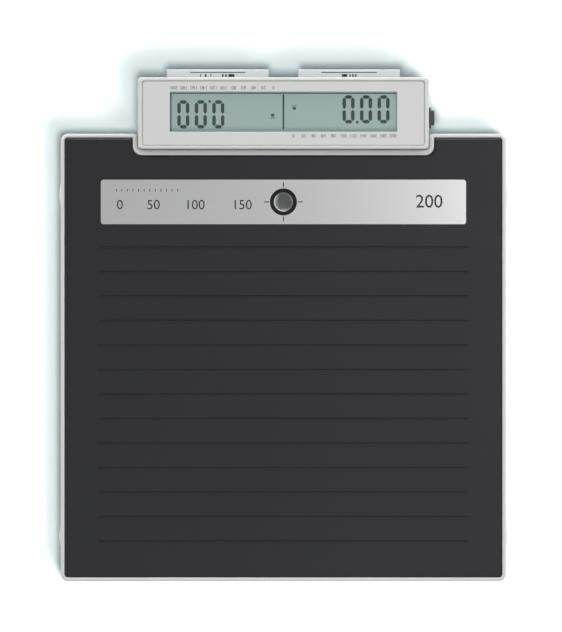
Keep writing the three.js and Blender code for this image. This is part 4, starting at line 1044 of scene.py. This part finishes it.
def key_marks(hand):
    """A thin line along a key's rear edge, and plain symbols between it and the head."""
    low, high = span(f"key_{hand}")
    x = (low.x + high.x) / 2
    patches = [key_patch(hand, x, high.y - KEY_LINE_INSET, KEY_LINE_WIDTH, 0.6)]
    # Each symbol is its place along the key and its width.
    if hand == "left":
        symbols = [(3.6, 1.1), (5.8, 1.1), (9.6, 4.2), (-12, 0.6), (-8.4, 1.2), (-4.8, 0.6)]
    else:
        symbols = [(-3.2, 3.6), (0.6, 1), (2.6, 1), (4.6, 1)]
    for across, wide in symbols:
        patches.append(key_patch(hand, x + across, head_rear + KEY_SYMBOL_ROW, wide, KEY_SYMBOL_DEPTH))
    return patches


def key_patch(hand, x, y, wide, deep):
    """A printed patch that lies on a key's sloping face."""
    high = span(f"key_{hand}")[1]
    slope = KEY_DROP / (high.y - head_rear)
    path = oblong(x, y, wide, deep, 0.15, 2)
    face = [(px, py, high.z - (py - head_rear) * slope) for px, py in path]
    return loft("patch", [face, [(px, py, pz + PRINT) for px, py, pz in face]], print_dark)


# Feet

def feet():
    for corner in CORNERS:
        centre = middle(f"foot_pad_{corner}")
        wheel(corner, centre)
        rubber_foot(corner, centre)
        stud(corner, centre)


def rubber_foot(corner, centre):
    """A pad with two grooves in its sole and a socket for the stud's ball."""
    low, high = span(f"foot_pad_{corner}")
    radius = (high.x - low.x) / 2
    socket = high.z - PAD_SOCKET
    pad = turn(f"rubber_foot_{corner}", [
        (0, PAD_SOLE), (3, PAD_SOLE), (3.4, 0), (5.6, 0), (5.9, PAD_SOLE), (6.6, PAD_SOLE),
        (6.9, 0), (8.8, 0), (9.1, PAD_SOLE), (9.8, PAD_SOLE), (10.1, 0), (radius - 0.7, 0),
        (radius - 0.1, 0.4), (radius, 1), (radius - 0.1, 2.2), (radius * 0.83, high.z - 0.4),
        (radius * 0.78, high.z), (PAD_BORE, high.z), (PAD_BORE, socket), (0, socket),
    ], centre, foot_rubber, 48)
    stand_for(pad, f"foot_pad_{corner}", f"pad_{corner}")


def wheel(corner, centre):
    """A levelling wheel: a smooth lip on top, finger flutes below it, a hub on its stud."""
    low, high = span(f"foot_wheel_{corner}")
    radius = (high.x - low.x) / 2
    core = radius - FLUTE_DEPTH
    rim = low.z + WHEEL_RIM
    lip = rim - WHEEL_FLANGE
    hub = WHEEL_HUB
    web = low.z + WHEEL_WEB
    body = turn(f"wheel_{corner}", [
        (PAD_BORE, web), (10, web), (10, low.z + 0.4), (10.4, low.z), (core - 5.6, low.z),
        (core - 5, low.z + 0.5), (core - 1.2, low.z + 0.5), (core - 0.3, low.z + 1.1),
        (core, low.z + 1.8), (core, lip), (radius - 0.3, lip), (radius, lip + 0.3),
        (radius, rim - 0.9), (radius - 0.4, rim - 0.6), (radius - 1.8, rim), (hub + 0.4, rim),
        (hub, rim + 0.4), (hub, high.z - 0.4), (hub - 0.4, high.z), (PAD_BORE, high.z), (PAD_BORE, web),
    ], centre, wheel_white, 128)
    rings = []
    for size, z in ((0.5, low.z + 1.0), (1, low.z + 1.8), (1, lip + 0.1)):
        half = [(-0.9, -1.5), (0.05, -1.45), (FLUTE_DEPTH * size, -0.7)]
        section = half + [(out, -across) for out, across in reversed(half)]
        rings.append([
            (centre.x + core + out, centre.y + across * size, z) for out, across in section
        ])
    flute = loft(f"flute_{corner}", rings, wheel_white)
    repeat(flute, ring_of, Count=FLUTES, Centre=centre * MM, Finish=wheel_white)
    whole = gather(f"levelling_wheel_{corner}", [body, flute])
    stand_for(whole, f"foot_wheel_{corner}", f"wheel_{corner}")


def stud(corner, centre):
    """The threaded stud, with a true helix cut into its shank."""
    low, high = span(f"foot_stud_{corner}")
    radius = (high.x - low.x) / 2
    rows = int((high.z - low.z) / STUD_ROW)
    rings = []
    for k in range(rows + 1):
        z = low.z + (high.z - low.z) * k / rows
        taper = min(1, (z - low.z + 0.4) / 1.4, (high.z - z + 0.6) / 1.2)
        depth = THREAD_DEPTH if z - low.z > THREAD_START else 0
        ring = []
        for i in range(STUD_SIDES):
            angle = 2 * math.pi * i / STUD_SIDES
            phase = (z / THREAD_PITCH - i / STUD_SIDES) % 1
            r = radius * taper - depth * abs(2 * phase - 1)
            ring.append((centre.x + r * math.cos(angle), centre.y + r * math.sin(angle), z))
        rings.append(ring)
    piece = loft(f"threaded_stud_{corner}", rings, nickel, sharp=50)
    stand_for(piece, f"foot_stud_{corner}", f"wheel_{corner}")


# Screws and housings

def screw_head(radius, height):
    """A pan head with a cross recess, its seat at the origin, facing down."""
    head = turn("screw_head", [
        (0, -height), (radius * 0.55, -height), (radius * 0.9, -height * 0.6),
        (radius, -height * 0.2), (radius, 0), (0, 0),
    ], (0, 0), nickel, 20)
    arm = radius * 0.6
    wide = radius * 0.13
    cross = ((arm, wide), (wide, arm))
    carve(head, *[cutter_box(-x, x, -y, y, -height - 1, -height * 0.35) for x, y in cross])
    return head


def screws():
    x = frame_high.x - BAND - LEDGE / 2
    front = frame_low.y + BAND + LEDGE / 2
    rear = frame_high.y - BAND - LEDGE / 2
    sides = (middle("foot_pad_front_left").y + middle("foot_pad_rear_left").y) / 2
    notch = notch_floor - NOTCH_FLOOR_BAND - LEDGE / 2
    along = frame_high.x / 3
    places = [(s * x, y) for s in (-1, 1) for y in (front, sides, rear)]
    places += [(s * along, front) for s in (-1, 1)]
    places += [(s * along / 2, notch) for s in (-1, 1)]
    places += [(s * TONGUE_SCREW, head_front - TONGUE_INSET) for s in (-1, 1)]
    seat = TRAY_UNDER + SCREW_SINK
    mesh = bpy.data.meshes.new("tray_screws")
    mesh.from_pydata([Vector((px, py, seat)) * MM for px, py in places], [], [])
    piece = place_new("tray_screws", mesh)
    head = screw_head(SCREW_RADIUS, SCREW_SINK - 0.1)
    repeat(piece, on_points, Piece=head, Finish=nickel)
    bpy.data.objects.remove(head)
    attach(piece, "root")


def housings():
    """Mouldings that keep the shape of their CAD nodes."""
    softened("base_tray", "tray_moulding", 0, tray_grey)
    softened("display_base", "head_base", 0.4, shell_grey)
    softened("supply_socket", "supply_jack", 0.2, black_plastic)
    softened("lcd_holder", "lcd_cradle", 0.2, black_plastic)
    softened("battery_door", "battery_cover", 0.25, tray_grey, "door")
    softened("socket_bung", "rubber_bung", 0.6, bung_rubber, "bung")


# Marks

def lettering(text, height, x, y, z, look, turned=False, weight=0):
    """Numbers as a thin solid print, centred at a place, and turned half round if asked."""
    curve = bpy.data.curves.new("numbers", "FONT")
    curve.body = text
    curve.align_x = "CENTER"
    curve.align_y = "CENTER"
    curve.size = height / 0.7
    curve.offset = weight
    curve.extrude = PRINT / 2
    holder = place_new("numbers", curve)
    bpy.context.view_layer.update()
    mesh = bpy.data.meshes.new_from_object(holder.evaluated_get(bpy.context.evaluated_depsgraph_get()))
    bpy.data.objects.remove(holder)
    facing = Matrix.Rotation(math.pi if turned else 0, 4, "Z")
    mesh.transform(Matrix.Scale(MM, 4) @ Matrix.Translation((x, y, z + PRINT / 2)) @ facing)
    mesh.materials.clear()
    mesh.materials.append(look)
    return place_new("numbers", mesh)


def tick(x, y, wide, deep):
    """A printed tick on the label."""
    path = oblong(x, y, wide, deep, min(wide, deep) * 0.2, 1)
    return slab("tick", path, label_high.z, label_high.z + PRINT, print_dark)


def label_marks():
    z = label_high.z
    prints = []
    for text, x in LABEL_NUMBERS:
        prints.append(lettering(text, LABEL_NUMBER_HEIGHT, x, LABEL_NUMBER_Y, z, print_dark))
    prints.append(lettering("200", LAST_NUMBER_HEIGHT, *LAST_NUMBER_PLACE, z, print_dark, weight=0.02))
    for sign in (-1, 1):
        x = level.x + sign * CROSS_SIDEWAYS
        y = level.y + sign * CROSS_LENGTHWAYS
        prints.append(tick(x, level.y, CROSS_LENGTH, CROSS_WIDTH))
        prints.append(tick(level.x, y, CROSS_WIDTH, CROSS_LENGTH))
    ticks = tick(*SCALE_START, 0.5, 2)
    repeat(ticks, row_of, Count=SCALE_TICKS, Step=(SCALE_PITCH * MM, 0, 0), Finish=print_dark)
    prints.append(ticks)
    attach(gather("label_numbers", prints), "root")


def bezel_marks():
    prints = []
    for turned in (False, True):
        sign = -1 if turned else 1
        y = lcd_middle - sign * BEZEL_NUMBER_ROW
        for i in range(BEZEL_NUMBERS):
            x = sign * (BEZEL_NUMBER_FIRST + i * BEZEL_NUMBER_PITCH)
            number = lettering(
                str(i * 20), BEZEL_NUMBER_HEIGHT, x, y, bezel_high.z, print_grey, turned,
            )
            prints.append(number)
    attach(gather("bezel_numbers", prints), "root")


def build():
    """Makes every piece, and gives back those that the rear lamps pass by."""
    frame_shell()
    treads = mat()
    plate = label()
    bubble_level()
    head_shell()
    bezel()
    lcd = display()
    keys()
    feet()
    screws()
    housings()
    label_marks()
    bezel_marks()
    return treads, plate, *lcd


def paint(look, *nodes):
    """Gives CAD nodes that are shown as they are their finish."""
    for node in nodes:
        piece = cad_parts[node]
        piece.data.materials.clear()
        piece.data.materials.append(look)


def paint_nodes():
    paint(plate_steel, "platform_plate")
    paint(nickel, "level_nut", "contact_board_left", "contact_board_right")
    paint(circuit_green, "junction_board", "main_board", "key_board")
    paint(black_plastic, "controller_chip", "key_switch_left", "key_switch_right")
    paint(strip_rubber, "lcd_strip_front", "lcd_strip_rear")
    paint(lead_jacket, "display_harness", *[f"load_lead_{c}" for c in CORNERS])
    paint(cell_aluminium, *[f"load_cell_{c}" for c in CORNERS])
    paint(battery_sleeve, *[f"battery_{i}" for i in range(1, 7)])


# Stage, light and camera

def background_rays(tree):
    """1 for camera, glossy and transmission rays, 0 for the rest."""
    path = make(tree, "ShaderNodeLightPath").outputs
    seen = reckon(tree, "MAXIMUM", path["Is Camera Ray"], path["Is Glossy Ray"])
    return reckon(tree, "MAXIMUM", seen, path["Is Transmission Ray"])


def matt_tone(tree, rays):
    """A matt surface, lighter as the camera sees it than as it lights the object."""
    tone = blend(tree, rays, (0.32, 0.31, 0.31), (0.6, 0.6, 0.6))
    return make(tree, "ShaderNodeBsdfDiffuse", {"Color": tone}).outputs[0]


def floor_glows(tree, rays):
    """A faint teal glow painted into the shadow beside and behind the platform, and white far out."""
    place = make(tree, "ShaderNodeTexCoord").outputs["Object"]
    parts = make(tree, "ShaderNodeSeparateXYZ", {0: place}).outputs
    sideways = reckon(tree, "ABSOLUTE", parts["X"])
    beside = ramp(tree, sideways, frame_high.x - SHADOW_GLOW_EDGE, frame_high.x)
    behind = ramp(tree, parts["Y"], frame_high.y - SHADOW_GLOW_EDGE, frame_high.y)
    # Painted light: a teal glow that shows only where the floor lies in shadow, and tints it.
    shadow_glow_mask = reckon(tree, "MULTIPLY", reckon(tree, "MAXIMUM", beside, behind), rays)
    shade = [share * FLOOR_SHADOW_GLOW for share in (0.05, 0.9, 1)]
    shadow_glow = make(tree, "ShaderNodeEmission", {"Color": blend(tree, shadow_glow_mask, (0, 0, 0), shade)})
    far = make(tree, "ShaderNodeVectorMath", {0: place}, operation="LENGTH").outputs["Value"]
    strength = reckon(tree, "MULTIPLY", ramp(tree, far, FLOOR_NEAR, FLOOR_FAR), rays)
    white = make(tree, "ShaderNodeEmission", {"Strength": strength})
    return shadow_glow.outputs[0], white.outputs[0]


def floor_look():
    """White from above, and clear from below."""
    look = bpy.data.materials.new("white_floor")
    look.use_nodes = True
    tree = look.node_tree
    tree.nodes.clear()
    rays = background_rays(tree)
    above = matt_tone(tree, rays)
    for glowing in floor_glows(tree, rays):
        above = make(tree, "ShaderNodeAddShader", {0: above, 1: glowing}).outputs[0]
    below = make(tree, "ShaderNodeBsdfTransparent").outputs[0]
    side = make(tree, "ShaderNodeNewGeometry").outputs["Backfacing"]
    surface = make(tree, "ShaderNodeMixShader", {0: side, 1: above, 2: below}).outputs[0]
    make(tree, "ShaderNodeOutputMaterial", {"Surface": surface})
    return look


def floor():
    r = FLOOR_REACH
    corners = [(-r, -r, 0), (r, -r, 0), (r, r, 0), (-r, r, 0)]
    sheet = add("floor", corners, [(0, 1, 2, 3)], floor_look())
    return sheet


def light_group(name, state, *pieces):
    """A group by which a lamp lights only these pieces, or all but these."""
    group = bpy.data.collections.new(name)
    for piece in pieces:
        group.objects.link(piece)
    for member in group.collection_objects:
        member.light_linking.link_state = state
    return group


def world_light(strength):
    world = bpy.data.worlds.new("studio")
    bpy.context.scene.world = world
    world.use_nodes = True
    tree = world.node_tree
    seen = spread(tree, background_rays(tree), strength, 1)
    give(tree, tree.nodes["Background"], {"Color": (1, 1, 1, 1), "Strength": seen})


def panel(name, place, size, watts, receivers, colour=(1, 1, 1)):
    """A square or oblong lamp that is turned to the object and lights only its receivers."""
    lamp = bpy.data.lights.new(name, "AREA")
    lamp.shape = "RECTANGLE"
    lamp.size, lamp.size_y = size
    lamp.energy = watts
    lamp.color = colour
    holder = place_new(name, lamp)
    holder.location = place
    holder.rotation_mode = "QUATERNION"
    holder.rotation_quaternion = (Vector(LAMP_AIM) - Vector(place)).to_track_quat("-Z", "Y")
    holder.light_linking.receiver_collection = receivers
    return holder


def camera():
    data = bpy.data.cameras.new("camera")
    data.lens = CAMERA_LENS
    data.sensor_width = 36
    holder = place_new("camera", data)
    height = PHOTO_HEIGHT * PHOTO_SCALE * CAMERA_LENS / data.sensor_width
    holder.location = Vector((*CAMERA_AIM, platform_top + height)) * MM
    data.clip_start = 0.1
    data.clip_end = 60
    bpy.context.scene.camera = holder


row_of = row_tree()
ring_of = ring_tree()
on_points = spot_tree()

camera()
shaded_pieces = build()
paint_nodes()
ground_sheet = floor()
the_piece = light_group("all_but_floor", "EXCLUDE", ground_sheet)
the_body = light_group("lit_from_behind", "EXCLUDE", ground_sheet, *shaded_pieces)
the_floor = light_group("floor_only", "INCLUDE", ground_sheet)
world_light(WORLD_LIGHT)
panel("front_panel", (0.3, -1.1, 1.6), (0.9, 0.9), 11.6, the_piece)
panel("rear_panel", (0, 1.9, 0.6), (0.8, 0.5), 16.5, the_body)
panel("rear_left_panel", (-1.45, 1.1, 0.45), (0.9, 0.5), 14, the_body)
panel("rear_right_panel", (1.45, 1.1, 0.45), (0.9, 0.5), 15, the_body)
panel("label_panel", (0.34, 0.12, 1.5), (0.3, 0.3), 1.4, the_piece)
panel("near_floor_panel", (-0.03, -0.005, 2.0), (0.22, 0.22), 32, the_floor, (0.94, 1, 1))
panel("wide_floor_panel", (0.6, -0.72, 2.0), (1.05, 1.05), 84, the_floor)
under = panel("under_panel", (0.4, -0.3, -1.4), (0.8, 0.8), 7, the_piece)
under.light_linking.blocker_collection = the_piece

bpy.context.scene.view_settings.view_transform = "Standard"
